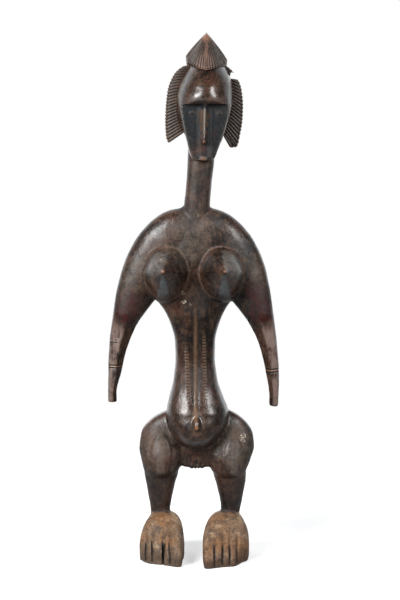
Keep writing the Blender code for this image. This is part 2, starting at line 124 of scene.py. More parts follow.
# %% Light the studio
def softbox(name, azimuth, elevation, distance, width, height, power):
    """An area light that faces the middle of the figure. Azimuth is to the viewer's right."""
    light = bpy.data.lights.new(name, "AREA")
    light.shape = "RECTANGLE"
    light.size, light.size_y = width, height
    light.energy = power
    placed = bpy.data.objects.new(name, light)
    a, e = math.radians(azimuth), math.radians(elevation)
    out = Vector((math.sin(a) * math.cos(e), -math.cos(a) * math.cos(e), math.sin(e)))
    placed.location = Vector((0, 0, HEIGHT * 0.55)) + out * distance
    placed.rotation_euler = (-out).to_track_quat("-Z", "Y").to_euler()
    bpy.context.scene.collection.objects.link(placed)
    return placed


softboxes = [
    softbox("left softbox", -42, 27, 1.7, 0.7, 0.8, 60),
    softbox("right softbox", 45, 27, 1.8, 0.5, 0.8, 30),
]

# %% [markdown]
# The camera sees plain white behind the figure, whatever the surround is as a light. The Light Path
# node tells the two apart. The floor below needs the same trick.

# %% Paint the surround
def seen_apart(tree, as_light, as_seen, output):
    """Shows one shader to the camera and uses the other for everything else."""
    rays, either = (tree.nodes.new("ShaderNode" + kind) for kind in ("LightPath", "MixShader"))
    for plug, socket in ((rays.outputs["Is Camera Ray"], 0), (as_light.outputs[0], 1), (as_seen.outputs[0], 2)):
        tree.links.new(plug, either.inputs[socket])
    tree.links.new(either.outputs[0], tree.nodes[output].inputs["Surface"])


SURROUND_FRONT, SURROUND_BACK = 0.05, 2.1
world = bpy.data.worlds.new("white studio")
bpy.context.scene.world = world
world.use_nodes = True
air = world.node_tree
backdrop = air.nodes["Background"]
direction = air.nodes.new("ShaderNodeTexCoord")
split = air.nodes.new("ShaderNodeSeparateXYZ")
air.links.new(direction.outputs["Generated"], split.inputs[0])
brightness = air.nodes.new("ShaderNodeMapRange")
brightness.interpolation_type = "SMOOTHSTEP"
spread = {"From Min": 0.14, "From Max": 0.85, "To Min": SURROUND_FRONT, "To Max": SURROUND_BACK}
for key, value in spread.items():
    brightness.inputs[key].default_value = value
air.links.new(split.outputs["Y"], brightness.inputs["Value"])
seen = air.nodes.new("ShaderNodeBackground")
air.links.new(brightness.outputs[0], backdrop.inputs["Strength"])
seen_apart(air, backdrop, seen, "World Output")
backdrop.inputs["Color"].default_value = (0.95, 0.98, 1.0, 1)
seen.inputs["Color"].default_value = (1, 1, 1, 1)
bpy.context.scene.view_settings.view_transform = "Standard"
print("surround as a light:", SURROUND_FRONT, "in front,", SURROUND_BACK, "behind")

# %% [markdown]
# The floor is a pale matt sheet on a table: it ends not far in front of the figure, so the shins mirror
# the dark room and not a white floor. The camera sees the paper brighter than the figure does, as if
# it had a lamp of its own. It is a stage piece, so it isn't part of the figure.

# %% Lay the floor
FLOOR_WIDTH, FLOOR_FRONT, FLOOR_BACK = 1.2, -0.24, 0.75
bpy.ops.mesh.primitive_plane_add(size=1, location=(0, (FLOOR_FRONT + FLOOR_BACK) / 2, 0))
floor = bpy.context.object
floor.name = "floor"
floor.scale = (FLOOR_WIDTH, FLOOR_BACK - FLOOR_FRONT, 1)
floor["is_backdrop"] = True
paper = bpy.data.materials.new("white studio paper")
paper.use_nodes = True
bright = paper.node_tree.nodes["Principled BSDF"]
dim = paper.node_tree.nodes.new("ShaderNodeBsdfPrincipled")
for shader, shade, glow in ((bright, 0.58, 0.40), (dim, 0.28, 0.0)):
    shader.inputs["Base Color"].default_value = (shade, shade, shade, 1)
    shader.inputs["Roughness"].default_value = 0.9
    shader.inputs["Emission Color"].default_value = (1, 1, 1, 1)
    shader.inputs["Emission Strength"].default_value = glow
seen_apart(paper.node_tree, dim, bright, "Material Output")
floor.data.materials.append(paper)
print("floor, m:", FLOOR_WIDTH, "by", FLOOR_BACK - FLOOR_FRONT)

# %% [markdown]
# ## The big forms
#
# Each big form is a loft: a few stations along it, each with a centre, a half width, a reach to the
# front and one to the back, and a squareness. Two of these numbers are read from the outline of the
# figure, and the others follow from what such carvings look like from the side. Primitives pushed
# around by hand would do too, but stations keep every size in one place.

# %% Write down the stations of the trunk and the head
LEFT, RIGHT = -1, 1  # as the viewer sees them
TORSO = [
    (3.0, -10, 129.0, 4, 8, 6, 2.0),
    (2.8, -8, 131.5, 14, 22, 12, 2.0),
    (2.6, -6, 136.0, 22, 30, 16, 2.1),
    (3.0, -4, 145.0, 29.5, 36, 18, 2.1),
    (3.8, -2, 158.0, 34.5, 39, 18, 2.3),
    (3.8, 0, 170.0, 35.6, 38, 18, 2.45),
    (2.6, 0, 186.0, 31.2, 31, 17, 2.45),
    (1.6, 0, 205.0, 25.6, 24.5, 17, 2.4),
    (1.3, 0, 232.0, 22.9, 20, 17, 2.4),
    (1.2, 0, 252.0, 23.6, 19.5, 17.5, 2.4),
    (1.0, 0, 272.0, 28.6, 20, 18.5, 2.3),
    (0.6, 0, 288.0, 36.0, 21, 20, 2.3),
    (0.2, 0, 305.0, 47.0, 22, 22, 2.3),
    (0.0, 0, 340.0, 52.0, 22.5, 24, 2.3),
    (0.0, 0, 372.0, 44.0, 20, 22, 2.2),
    (0.8, 0, 390.0, 33.0, 15, 17, 2.1),
    (1.8, 0, 400.0, 22.0, 11, 13, 2.1),
    (2.6, 0, 405.0, 15.0, 8, 10, 2.0),
]
NECK = [
    (2.0, 1, 386.0, 17.0, 16, 16, 2.2),
    (3.2, 0, 404.0, 14.9, 15, 15, 2.3),
    (5.4, 0, 428.0, 14.6, 15, 15, 2.3),
    (7.4, 1, 450.0, 15.2, 16, 15.5, 2.3),
    (9.4, 4, 480.0, 16.0, 16, 16, 2.3),
]
HEAD = [
    (11.0, -20, 458.2, 6.0, 9, 8, 2.2),
    (10.6, -18, 460.0, 12.0, 24, 12, 2.5),
    (10.4, -16, 463.5, 14.4, 34, 16, 2.6),
    (10.6, -12, 470.0, 16.9, 40, 20, 2.6),
    (11.4, -6, 483.0, 21.2, 50, 26, 2.6),
    (12.2, 0, 499.0, 26.0, 58, 34, 2.6),
    (12.6, 2, 516.0, 29.8, 62, 38, 2.6),
    (12.6, 2, 519.0, 30.2, 60, 38.5, 2.6),
    (12.6, 2, 523.5, 30.9, 46, 39, 2.4),
    (12.6, 2, 530.0, 31.4, 46, 39, 2.2),
    (13.6, 2, 540.0, 30.0, 43.5, 38, 2.0),
    (14.6, 3, 551.0, 26.2, 37.5, 35, 2.0),
    (15.0, 5, 561.0, 20.5, 29.5, 30, 2.0),
    (15.0, 7, 569.0, 12.5, 20, 22, 2.0),
    (15.0, 8, 573.5, 4.0, 8, 9, 2.0),
]
PELVIS = [
    (3.4, 2, 104.4, 13.0, 9, 12, 3.0),
    (3.4, 2, 106.2, 19.0, 16, 22, 2.8),
    (3.2, 2, 114.0, 23.0, 19, 30, 2.4),
    (3.0, 2, 130.0, 26.0, 20, 34, 2.3),
    (3.0, 2, 160.0, 28.0, 16, 26, 2.2),
    (3.0, 2, 176.0, 20.0, 10, 16, 2.1),
]

# %% Write down the stations of the limbs
THIGHS = {
    LEFT: [
        (-39.5, 0, 91.5, 8, 9, 8, 2.0),
        (-38.6, 0, 95.0, 17, 18, 20, 2.2),
        (-37.4, 0, 103.0, 21.2, 22, 30, 2.3),
        (-36.4, 0, 114.0, 24.6, 22, 40, 2.3),
        (-35.6, 0, 128.0, 27.4, 19.5, 47, 2.2),
        (-33.5, 0, 144.0, 27.4, 15, 47, 2.2),
        (-27.0, 0, 159.0, 22.6, 10, 36, 2.1),
        (-18.0, 0, 169.0, 14.0, 5, 22, 2.0),
        (-14.0, 0, 173.0, 5.0, 2, 10, 2.0),
    ],
    RIGHT: [
        (42.0, 0, 91.5, 8, 9, 8, 2.0),
        (41.6, 0, 95.0, 17, 18, 20, 2.2),
        (39.8, 0, 103.0, 21.4, 22, 30, 2.3),
        (39.4, 0, 114.0, 25.8, 22, 40, 2.3),
        (40.6, 0, 128.0, 28.6, 19.5, 47, 2.2),
        (39.6, 0, 142.0, 28.2, 15, 47, 2.2),
        (33.0, 0, 159.0, 24.2, 10, 36, 2.1),
        (25.0, 0, 169.0, 18.0, 5, 22, 2.0),
        (20.0, 0, 174.0, 6.0, 2, 10, 2.0),
    ],
}
SHINS = {
    LEFT: [
        (-38.4, 4, 40.0, 11.4, 12, 13, 2.3),
        (-38.9, 4, 50.0, 11.2, 12, 13, 2.3),
        (-38.8, 4, 66.0, 13.4, 14.5, 16, 2.3),
        (-38.6, 3, 84.0, 16.8, 16.5, 19, 2.3),
        (-37.6, 2, 98.0, 19.8, 18, 22, 2.3),
        (-36.4, 2, 112.0, 20.0, 16, 22, 2.3),
    ],
    RIGHT: [
        (41.2, 4, 40.0, 10.6, 12, 13, 2.3),
        (41.8, 4, 50.0, 10.9, 12, 13, 2.3),
        (42.6, 4, 66.0, 13.2, 14.5, 16, 2.3),
        (42.2, 3, 84.0, 16.9, 16.5, 19, 2.3),
        (40.8, 2, 98.0, 19.4, 18, 22, 2.3),
        (39.0, 2, 112.0, 20.0, 16, 22, 2.3),
    ],
}
ARMS = {
    LEFT: [
        (-93.2, -9, 181.0, 4.2, 3.2, 3.2, 2.4),
        (-93.2, -9, 182.6, 5.4, 4.4, 4.4, 2.3),
        (-93.3, -9, 192.0, 5.3, 4.9, 4.9, 1.9),
        (-90.3, -8, 218.0, 8.0, 7.5, 7.5, 1.8),
        (-86.2, -6, 246.0, 10.9, 10.5, 10.5, 1.8),
        (-79.0, -4, 274.0, 14.8, 13.5, 13.5, 1.9),
        (-67.4, -2, 303.0, 22.2, 17, 17, 2.0),
        (-52.6, 0, 331.4, 28.8, 20, 20, 2.1),
        (-35.6, 0, 353.6, 33.2, 21, 21, 2.1),
        (-17.0, 0, 366.8, 35.4, 20, 20, 2.1),
        (2.0, 0, 371.0, 32.0, 18, 18, 2.1),
    ],
    RIGHT: [
        (90.8, -9, 176.4, 4.0, 3.2, 3.2, 2.4),
        (91.0, -9, 178.2, 5.4, 4.4, 4.4, 2.3),
        (91.3, -9, 190.0, 5.7, 4.9, 4.9, 1.9),
        (89.2, -8, 218.0, 8.1, 7.5, 7.5, 1.8),
        (85.0, -6, 246.0, 10.4, 10.5, 10.5, 1.8),
        (77.4, -4, 274.0, 14.6, 13.5, 13.5, 1.9),
        (66.0, -2, 302.6, 22.4, 17, 17, 2.0),
        (52.2, 0, 331.0, 29.6, 20, 20, 2.1),
        (35.4, 0, 354.0, 34.0, 21, 21, 2.1),
        (17.6, 0, 366.8, 35.8, 20, 20, 2.1),
        (-2.0, 0, 371.0, 32.0, 18, 18, 2.1),
    ],
}

# %% Write down the stations that run towards the front
# Here the last reaches are down and up. The breasts are mirrored.
BREAST = [
    (31.0, -6, 331, 27.5, 35, 31, 2.1),
    (31.2, -18, 331, 27.0, 35, 31, 2.1),
    (31.6, -27, 332, 24.8, 32.5, 27, 2.0),
    (32.4, -38, 334, 19.4, 26.5, 20, 2.0),
    (33.2, -48, 336, 12.2, 16.0, 12, 2.0),
    (33.9, -57, 337.4, 4.8, 5.6, 4.8, 2.0),
    (34.1, -60, 337.6, 2.8, 2.8, 2.8, 2.0),
    (34.2, -63.5, 337.6, 1.6, 1.6, 1.6, 2.0),
]
NAVEL = [
    (3.2, -34, 163, 4.4, 8.5, 7.5, 2.0),
    (3.2, -42, 162, 4.0, 7.5, 6.5, 2.0),
    (3.2, -46, 160, 2.8, 5.0, 4.5, 2.0),
    (3.2, -48, 158, 1.0, 1.5, 1.5, 2.0),
]
NOSE = [
    (11.4, -24, 477.8, 4.0, 12.0, 10, 1.6),
    (11.4, -24, 479.0, 6.4, 15.0, 10, 1.5),
    (11.4, -24, 483.0, 7.4, 16.0, 10, 1.35),
    (11.8, -24, 494.0, 7.6, 15.0, 10, 1.3),
    (12.2, -24, 508.0, 8.8, 14.2, 10, 1.25),
    (12.5, -24, 517.0, 10.2, 14.0, 10, 1.2),
    (12.6, -24, 526.0, 11.4, 13.6, 10, 1.3),
]
NOSE_RIDGE = [
    (11.3, -24, 477.4, 2.4, 15.0, 8, 2.0),
    (11.4, -24, 479.4, 3.6, 19.4, 8, 2.0),
    (11.5, -24, 486.0, 3.2, 19.0, 8, 2.1),
    (11.9, -24, 500.0, 3.0, 17.0, 8, 2.2),
    (12.3, -24, 514.0, 3.4, 15.6, 8, 2.2),
    (12.6, -24, 526.0, 4.0, 14.8, 8, 2.2),
]
MOUTH = [
    (10.5, -20, 458.9, 6.6, 13.6, 6, 2.6),
    (10.5, -20, 460.2, 7.4, 15.4, 6, 2.6),
    (10.5, -20, 462.6, 6.4, 14.0, 6, 2.6),
]
TEMPLE_STRIP = [  # the smooth wood between the left tress and the head
    (-7.0, 3, 559.0, 2.0, 3, 6, 2.0),
    (-10.0, 3, 552.0, 2.8, 5, 8, 2.0),
    (-14.6, 3, 538.0, 3.2, 6, 8, 2.2),
    (-16.8, 3, 522.0, 3.4, 6, 8, 2.2),
    (-16.2, 3, 506.0, 3.2, 6, 8, 2.2),
    (-14.6, 3, 497.0, 2.6, 5, 8, 2.2),
    (-13.0, 3, 492.5, 1.2, 3, 5, 2.0),
]
FEET = {
    LEFT: [
        (-36.0, 37.0, 10, 8.0, 24, 8, 2.2),
        (-36.0, 33.0, 10, 14.5, 24, 21, 2.4),
        (-36.0, 24.0, 10, 19.0, 24, 33, 2.6),
        (-35.2, 8.0, 11, 21.0, 25, 40, 3.2),
        (-34.6, -5.0, 12, 22.3, 26, 40.5, 3.4),
        (-36.2, -18.0, 13, 25.4, 27, 35.0, 3.0),
        (-37.9, -27.0, 13, 25.8, 27, 27.5, 2.8),
        (-37.0, -36.0, 12, 24.4, 26, 19.5, 2.8),
        (-35.8, -44.0, 11, 22.2, 24, 13.0, 2.8),
        (-35.0, -47.2, 9, 19.4, 23, 8.5, 2.7),
        (-34.6, -48.8, 7, 15.5, 21, 4.0, 2.5),
    ],
    RIGHT: [
        (40.0, 37.0, 10, 8.0, 24, 8, 2.2),
        (40.0, 33.0, 10, 14.5, 24, 21, 2.4),
        (39.6, 24.0, 10, 19.0, 24, 33, 2.6),
        (37.6, 8.0, 11, 22.0, 25, 40, 3.2),
        (36.8, -5.0, 12, 24.2, 26, 40.5, 3.3),
        (36.6, -18.0, 13, 26.8, 27, 35.5, 3.1),
        (35.6, -30.0, 13, 26.0, 27, 26.5, 2.8),
        (33.4, -41.0, 12, 23.6, 26, 18, 2.8),
        (31.4, -51.0, 10, 20.4, 24, 12.5, 2.8),
        (30.8, -56.0, 9, 18.4, 23, 7.5, 2.7),
        (30.6, -58.4, 7, 14.8, 21, 3.5, 2.5),
    ],
}
EYES = [(-1.8, 511.6), (28.2, 511.0)]
EYE_REACH = (2.5, 1.7, 1.5)
BREAST_CREASES = (-108, -72, 0, 62, 121, 180)  # degrees round the left breast, as the viewer sees it
BREAST_FLATS = (0.08, 1.0)  # how flat the facets are at the base and at the tip
LABIA = [(-2.6, 108.6), (3.4, 107.8), (9.4, 108.6)]
LABIUM_REACH = (3.4, 5.0, 4.6)
LABIA_Y = -12.5
print("stations of the trunk and the head:", len(TORSO) + len(NECK) + len(HEAD) + len(PELVIS))

# %% [markdown]
# ## Lofting
#
# Straight lines between the stations would show as creases. A cubic through them is smooth, and this one
# never overshoots a station, so a waist stays as narrow as it was measured and no wider anywhere.

# %% Ease from station to station
def eased(stations, count):
    """Rows spread evenly along the stations, on a cubic that never overshoots them."""
    rows = np.array(stations, float)
    reach = 3 if rows.shape[1] > 3 else 2
    steps = np.linalg.norm(np.diff(rows[:, :reach], axis=0), axis=1)
    along = np.concatenate([[0.0], np.cumsum(steps)])
    slopes = np.diff(rows, axis=0) / steps[:, None]
    before, after = slopes[:-1], slopes[1:]
    turning = before * after <= 0
    tangents = np.zeros_like(rows)
    tangents[1:-1] = np.where(turning, 0.0, 2 * before * after / np.where(turning, 1.0, before + after))
    tangents[0], tangents[-1] = slopes[0], slopes[-1]
    at = np.linspace(0.0, along[-1], count)
    i = np.clip(np.searchsorted(along, at, side="right") - 1, 0, len(steps) - 1)
    span = steps[i][:, None]
    u = (at - along[i])[:, None] / span
    start = (1 + 2 * u) * (1 - u) ** 2 * rows[i] + u * (1 - u) ** 2 * span * tangents[i]
    return start + u * u * (3 - 2 * u) * rows[i + 1] - u * u * (1 - u) * span * tangents[i + 1]


waist = eased(TORSO, 200)
print("narrowest half width of the waist:", round(float(waist[60:140, 3].min()), 2))

# %% [markdown]
# The section at a station is a superellipse: an ellipse whose power can make it squarer, as on the
# neck, or more like a diamond, as on the forearms, where the knife left a ridge down the middle.

# %% Loft one closed form
X_AXIS, Y_AXIS, Z_AXIS = np.eye(3)


def signed_power(value, exponent):
    return np.sign(value) * np.abs(value) ** exponent


def tube_faces(rings, around):
    """Faces between neighbouring rings, with a fan to the last two points at either end."""
    first, last = rings * around, rings * around + 1
    faces = []
    for ring in range(rings - 1):
        low, high = ring * around, (ring + 1) * around
        faces += [(low + i, low + (i + 1) % around, high + (i + 1) % around, high + i) for i in range(around)]
    top = (rings - 1) * around
    faces += [(first, (i + 1) % around, i) for i in range(around)]
    faces += [(last, top + i, top + (i + 1) % around) for i in range(around)]
    return faces


def loft(stations, rings=60, around=96, depth=Y_AXIS, follow=False, carve=None):
    """One closed form as (points, faces). Follow turns its sections across the curve of its centres."""
    rows = eased(stations, rings)
    centres = rows[:, :3]
    side = np.tile(X_AXIS, (rings, 1))
    if follow:
        side = np.cross(np.tile(Y_AXIS, (rings, 1)), np.gradient(centres, axis=0))
        side /= np.linalg.norm(side, axis=1)[:, None]
    turn = np.linspace(0, 2 * math.pi, around, endpoint=False)
    power = 2 / rows[:, 6:7]
    across = signed_power(np.cos(turn)[None, :], power) * rows[:, 3:4]
    through = signed_power(np.sin(turn)[None, :], power)
    through = through * np.where(through < 0, rows[:, 4:5], rows[:, 5:6])
    points = centres[:, None, :] + across[..., None] * side[:, None, :] + through[..., None] * depth
    if carve:
        points = carve(points)
    return np.concatenate([points.reshape(-1, 3), centres[:1], centres[-1:]]), tube_faces(rings, around)


def ball(centre, reach):
    """A closed form of that reach in x, y and z around its centre."""
    rows = [
        (centre[0], centre[1] + reach[1] * math.sin(a), centre[2],
         reach[0] * math.cos(a), reach[2] * math.cos(a), reach[2] * math.cos(a), 2.0)
        for a in np.linspace(-1, 1, 9) * math.pi / 2 * 0.98
    ]
    return loft(rows, rings=24, around=28, depth=Z_AXIS)


def mirrored(stations):
    return [(-row[0], *row[1:]) for row in stations]


# %% [markdown]
# ## Two forms that need a knife
#
# The face is a flat plane cut back under a straight brow, so the head is first lofted too far forward
# and then cut. The toes are five fingers of wood left between four cuts, and the outer toes lie further
# back than the big one.

# %% Cut the face flat and part the toes
BROW_Z, BROW_Y = 521.5, -39.5
FOREHEAD_SWELL = 9.0  # the forehead may reach this much further forward than the brow's edge
SWELL_RISE = 12.0  # and gets there over this height
BROW_X, BROW_HALF = 12.6, 31.0  # the middle of the brow and half its width
BROW_ROUNDING = 7.0  # how far its ends lie behind its middle
FACE_RECESS = 7.5  # how far the face plane lies behind the brow
CHIN_Z, CHIN_Y = HEAD[0][2], -33.0
TOE_SLANT = {LEFT: 0.48, RIGHT: 0.38}
TOE_GROOVES = {LEFT: (-54.5, -46.8, -34.2, -26.6), RIGHT: (24.4, 33.4, 41.6, 49.6)}
TOE_GROOVE_WIDTH, TOE_GROOVE_DEPTH = 3.6, 4.0
TOES_START = {LEFT: -24.0, RIGHT: -30.0}
TOES_FULL = {LEFT: -36.0, RIGHT: -44.0}


def face_plane(z):
    """How far forward the head reaches at a height."""
    down = np.clip((BROW_Z - z) / (BROW_Z - CHIN_Z), 0, 1)
    top = BROW_Y + FACE_RECESS
    swell = FOREHEAD_SWELL * np.sin(np.clip((z - BROW_Z) / SWELL_RISE, 0, 1) * math.pi / 2)
    return np.where(z < BROW_Z, top + (CHIN_Y - top) * down, BROW_Y - swell)


def flatten_face(points):
    cut = points.copy()
    above = points[..., 2] >= BROW_Z
    rounding = BROW_ROUNDING * ((points[..., 0] - BROW_X) / BROW_HALF) ** 2
    cut[..., 1] = np.maximum(points[..., 1], face_plane(points[..., 2]) + above * rounding)
    return cut


def carve_toes(side):
    middle = FEET[side][6][0]
    groove_x = np.array(TOE_GROOVES[side])

    def carve(points):
        x, y, z = (points[..., i] for i in range(3))
        toes = np.clip((TOES_START[side] - y) / (TOES_START[side] - TOES_FULL[side]), 0, 1)
        nearest = np.abs(x[..., None] - groove_x).min(axis=-1)
        cut = TOE_GROOVE_DEPTH * toes * np.clip(1 - nearest / (TOE_GROOVE_WIDTH / 2), 0, 1) * (z > 0)
        moved = points.copy()
        moved[..., 1] = y + cut * 0.8 + np.clip((x - middle) * side, -30, 30) * TOE_SLANT[side] * toes
        moved[..., 2] = z - cut * 0.7
        return moved

    return carve


def facet_breast(side):
    """The flats that the knife left on a breast: from round at its base to faceted at its tip."""
    creases = np.radians(BREAST_CREASES if side == LEFT else [180 - a for a in BREAST_CREASES[::-1]])

    def carve(points):
        rings, around = points.shape[:2]
        middle = (points[:, :1] + points[:, around // 2:around // 2 + 1]) / 2
        reach = points - middle
        angle = np.arctan2(reach[..., 2], reach[..., 0])
        flat = np.ones((rings, around))
        for low, high in zip(creases, np.append(creases[1:], creases[0] + 2 * math.pi)):
            past = (angle - low) % (2 * math.pi)
            inside = past < high - low
            chord = math.cos((high - low) / 2) / np.cos(past - (high - low) / 2)
            flat = np.where(inside, chord, flat)
        share = np.linspace(BREAST_FLATS[0], BREAST_FLATS[1], rings)[:, None]
        return middle + reach * (1 + (flat - 1) * share)[..., None]

    return carve


# %% [markdown]
# ## One block of wood
#
# On the real figure there are no joins. A voxel remesh melts overlapping forms into one skin, as if they
# had been cut from one block, and a little smoothing rounds the inner corners as a knife would. Boolean
# unions would keep hard seams.

# %% Gather the forms of the body
def body_forms():
    forms = [
        loft(TORSO, rings=200, around=160),
        loft(NECK),
        loft(HEAD, rings=220, around=200, carve=flatten_face),
        loft(PELVIS),
        loft(BREAST, rings=80, around=144, depth=Z_AXIS, carve=facet_breast(RIGHT)),
        loft(mirrored(BREAST), rings=80, around=144, depth=Z_AXIS, carve=facet_breast(LEFT)),
        loft(NAVEL, rings=30, around=40, depth=Z_AXIS),
        loft(NOSE, rings=70, around=64),
        loft(NOSE_RIDGE, rings=70, around=40),
        loft(MOUTH, rings=20, around=48),
        loft(TEMPLE_STRIP, follow=True),
    ]
    forms += [ball((x, float(face_plane(z)), z), EYE_REACH) for x, z in EYES]
    forms += [ball((x, LABIA_Y, z), LABIUM_REACH) for x, z in LABIA]
    for side in (LEFT, RIGHT):
        forms.append(loft(ARMS[side], rings=200, around=90, follow=True))
        forms.append(loft(THIGHS[side], rings=120, around=120))
        forms.append(loft(SHINS[side]))
        forms.append(loft(FEET[side], rings=160, around=300, depth=Z_AXIS, carve=carve_toes(side)))
    return forms


def object_from(name, forms):
    """One mesh object of all these forms, in metres, with their faces turned outwards."""
    mesh = bpy.data.meshes.new(name)
    points, faces, count = [], [], 0
    for form_points, form_faces in forms:
        points.append(form_points)
        faces += [tuple(i + count for i in face) for face in form_faces]
        count += len(form_points)
    mesh.from_pydata(((np.concatenate(points) + [0, BALANCE, 0]) * UNIT).tolist(), [], faces)
    work = bmesh.new()
    work.from_mesh(mesh)
    bmesh.ops.recalc_face_normals(work, faces=work.faces)
    work.to_mesh(mesh)
    work.free()
    made = bpy.data.objects.new(name, mesh)
    bpy.context.scene.collection.objects.link(made)
    return made


carving = object_from("figure_carving", body_forms())
print("points before fusing:", len(carving.data.vertices))

# %% Fuse them into one skin
SKIN_GRAIN = 0.00115  # the side of a voxel, in metres
SMOOTHING_PASSES = 3


def settle(made):
    """Puts what the modifiers make into the mesh itself."""
    bpy.context.view_layer.update()
    done = bpy.data.meshes.new_from_object(made.evaluated_get(bpy.context.evaluated_depsgraph_get()))
    made.modifiers.clear()
    made.data = done


fuse = carving.modifiers.new("one block", "REMESH")
fuse.mode = "VOXEL"
fuse.voxel_size = SKIN_GRAIN
soften = carving.modifiers.new("knife-rounded corners", "SMOOTH")
soften.factor = 0.5
soften.iterations = SMOOTHING_PASSES
settle(carving)
print("points of the fused skin:", len(carving.data.vertices))

# %% Cut the soles flat
def cut_away(made, title, place, size, tilt=0.0, cuts=0):
    """Cuts a block out of a piece. A block with cuts across it has ragged sides, like an old break."""
    block = bpy.data.objects.new(title, bpy.data.meshes.new(title))
    work = bmesh.new()
    bmesh.ops.create_cube(work, size=1.0)
    if cuts:
        bmesh.ops.subdivide_edges(work, edges=work.edges, cuts=cuts, use_grid_fill=True)
        for corner in work.verts:
            corner.co.x += 0.03 * math.sin(37 * corner.co.z + 23 * corner.co.y)
            corner.co.z += 0.06 * math.sin(29 * corner.co.x + 17 * corner.co.y)
    work.to_mesh(block.data)
    work.free()
    block.location, block.scale = place, size
    block.rotation_euler[1] = tilt
    bpy.context.scene.collection.objects.link(block)
    step = made.modifiers.new(title, "BOOLEAN")
    step.operation = "DIFFERENCE"
    step.object = block
    settle(made)
    bpy.data.objects.remove(block)


cut_away(carving, "flat soles", (0, 0, -HEIGHT / 20), (HEIGHT, HEIGHT, HEIGHT / 10))
print("lowest point, mm:", round(1000 * min(v.co.z for v in carving.data.vertices), 3))

# %% [markdown]
# ## The small carving
#
# The rims round the breasts and the navel, the channel down the belly, the toe cuts and the cracks are
# a millimetre or two deep at most. Each is worked out as a depth at every point of the skin, and the
# skin is pushed in by it along its normal. That is quicker and cleaner than cutting tiny grooves with
# Booleans. The kneecaps are pushed out in the same way.

# %% Read and move the skin
def skin_points(mesh):
    """The points in six-hundredths of the height, before the figure was moved back."""
    points = np.empty(len(mesh.vertices) * 3)
    mesh.vertices.foreach_get("co", points)
    return points.reshape(-1, 3) / UNIT - [0, BALANCE, 0]


def skin_normals(mesh):
    normals = np.empty(len(mesh.vertices) * 3, np.float32)
    mesh.vertex_normals.foreach_get("vector", normals)
    return normals.reshape(-1, 3)


def put_points(mesh, points):
    mesh.vertices.foreach_set("co", ((points + [0, BALANCE, 0]) * UNIT).ravel())


def press(mesh, depth):
    """Pushes every point inwards by its depth."""
    put_points(mesh, skin_points(mesh) - skin_normals(mesh) * depth[:, None])
    mesh.update()


def cut(distance, half_width):
    """The rounded profile of a knife cut: 1 in the middle, 0 at its edges."""
    return np.clip(1 - (distance / half_width) ** 2, 0, 1) ** 1.5


# %% Cut the rims, the channel, the toes and the cracks
BREAST_RIM = (31.2, 331.5, 25.2, 29.6)  # centre and reach of the ring round a breast
NAVEL_RIM = (3.8, 161.5, 7.6, 11.6)
SPINE_X, KEEL_X = 1.0, 1.8
NOTCH_X = 3.4
SPLIT_X = -35.0  # the crack between two toes of the left foot
KNEECAPS = [(-37.3, 121.5, 12.4, 25.0), (45.6, 119.5, 11.6, 23.5)]  # centre and reach in x and z
CHANNEL_RIDGES = (-9.0, 13.0)  # on either side of the channel
WRINKLES = (-9.0, -14.5, -21.0)  # across the instep
LIPS_X, LIPS_Z = 10.5, 460.9
BREAST_RIM_DEPTH, NAVEL_RIM_DEPTH, TOE_DEPTH, WRINKLE_DEPTH = 0.12, 0.2, 1.3, 0.35
CHANNEL_DEPTH, KEEL_RISE, RIDGE_RISE, SPINE_DEPTH = 1.3, 0.8, 0.9, 1.6
KNEECAP_RISE, NOTCH_DEPTH, SPLIT_DEPTH, LIPS_DEPTH = 2.6, 2.2, 2.6, 0.7


def ellipse_distance(x, z, rim):
    cx, cz, rx, rz = rim
    return np.abs(np.hypot((x - cx) / rx, (z - cz) / rz) - 1) * (rx + rz) / 2


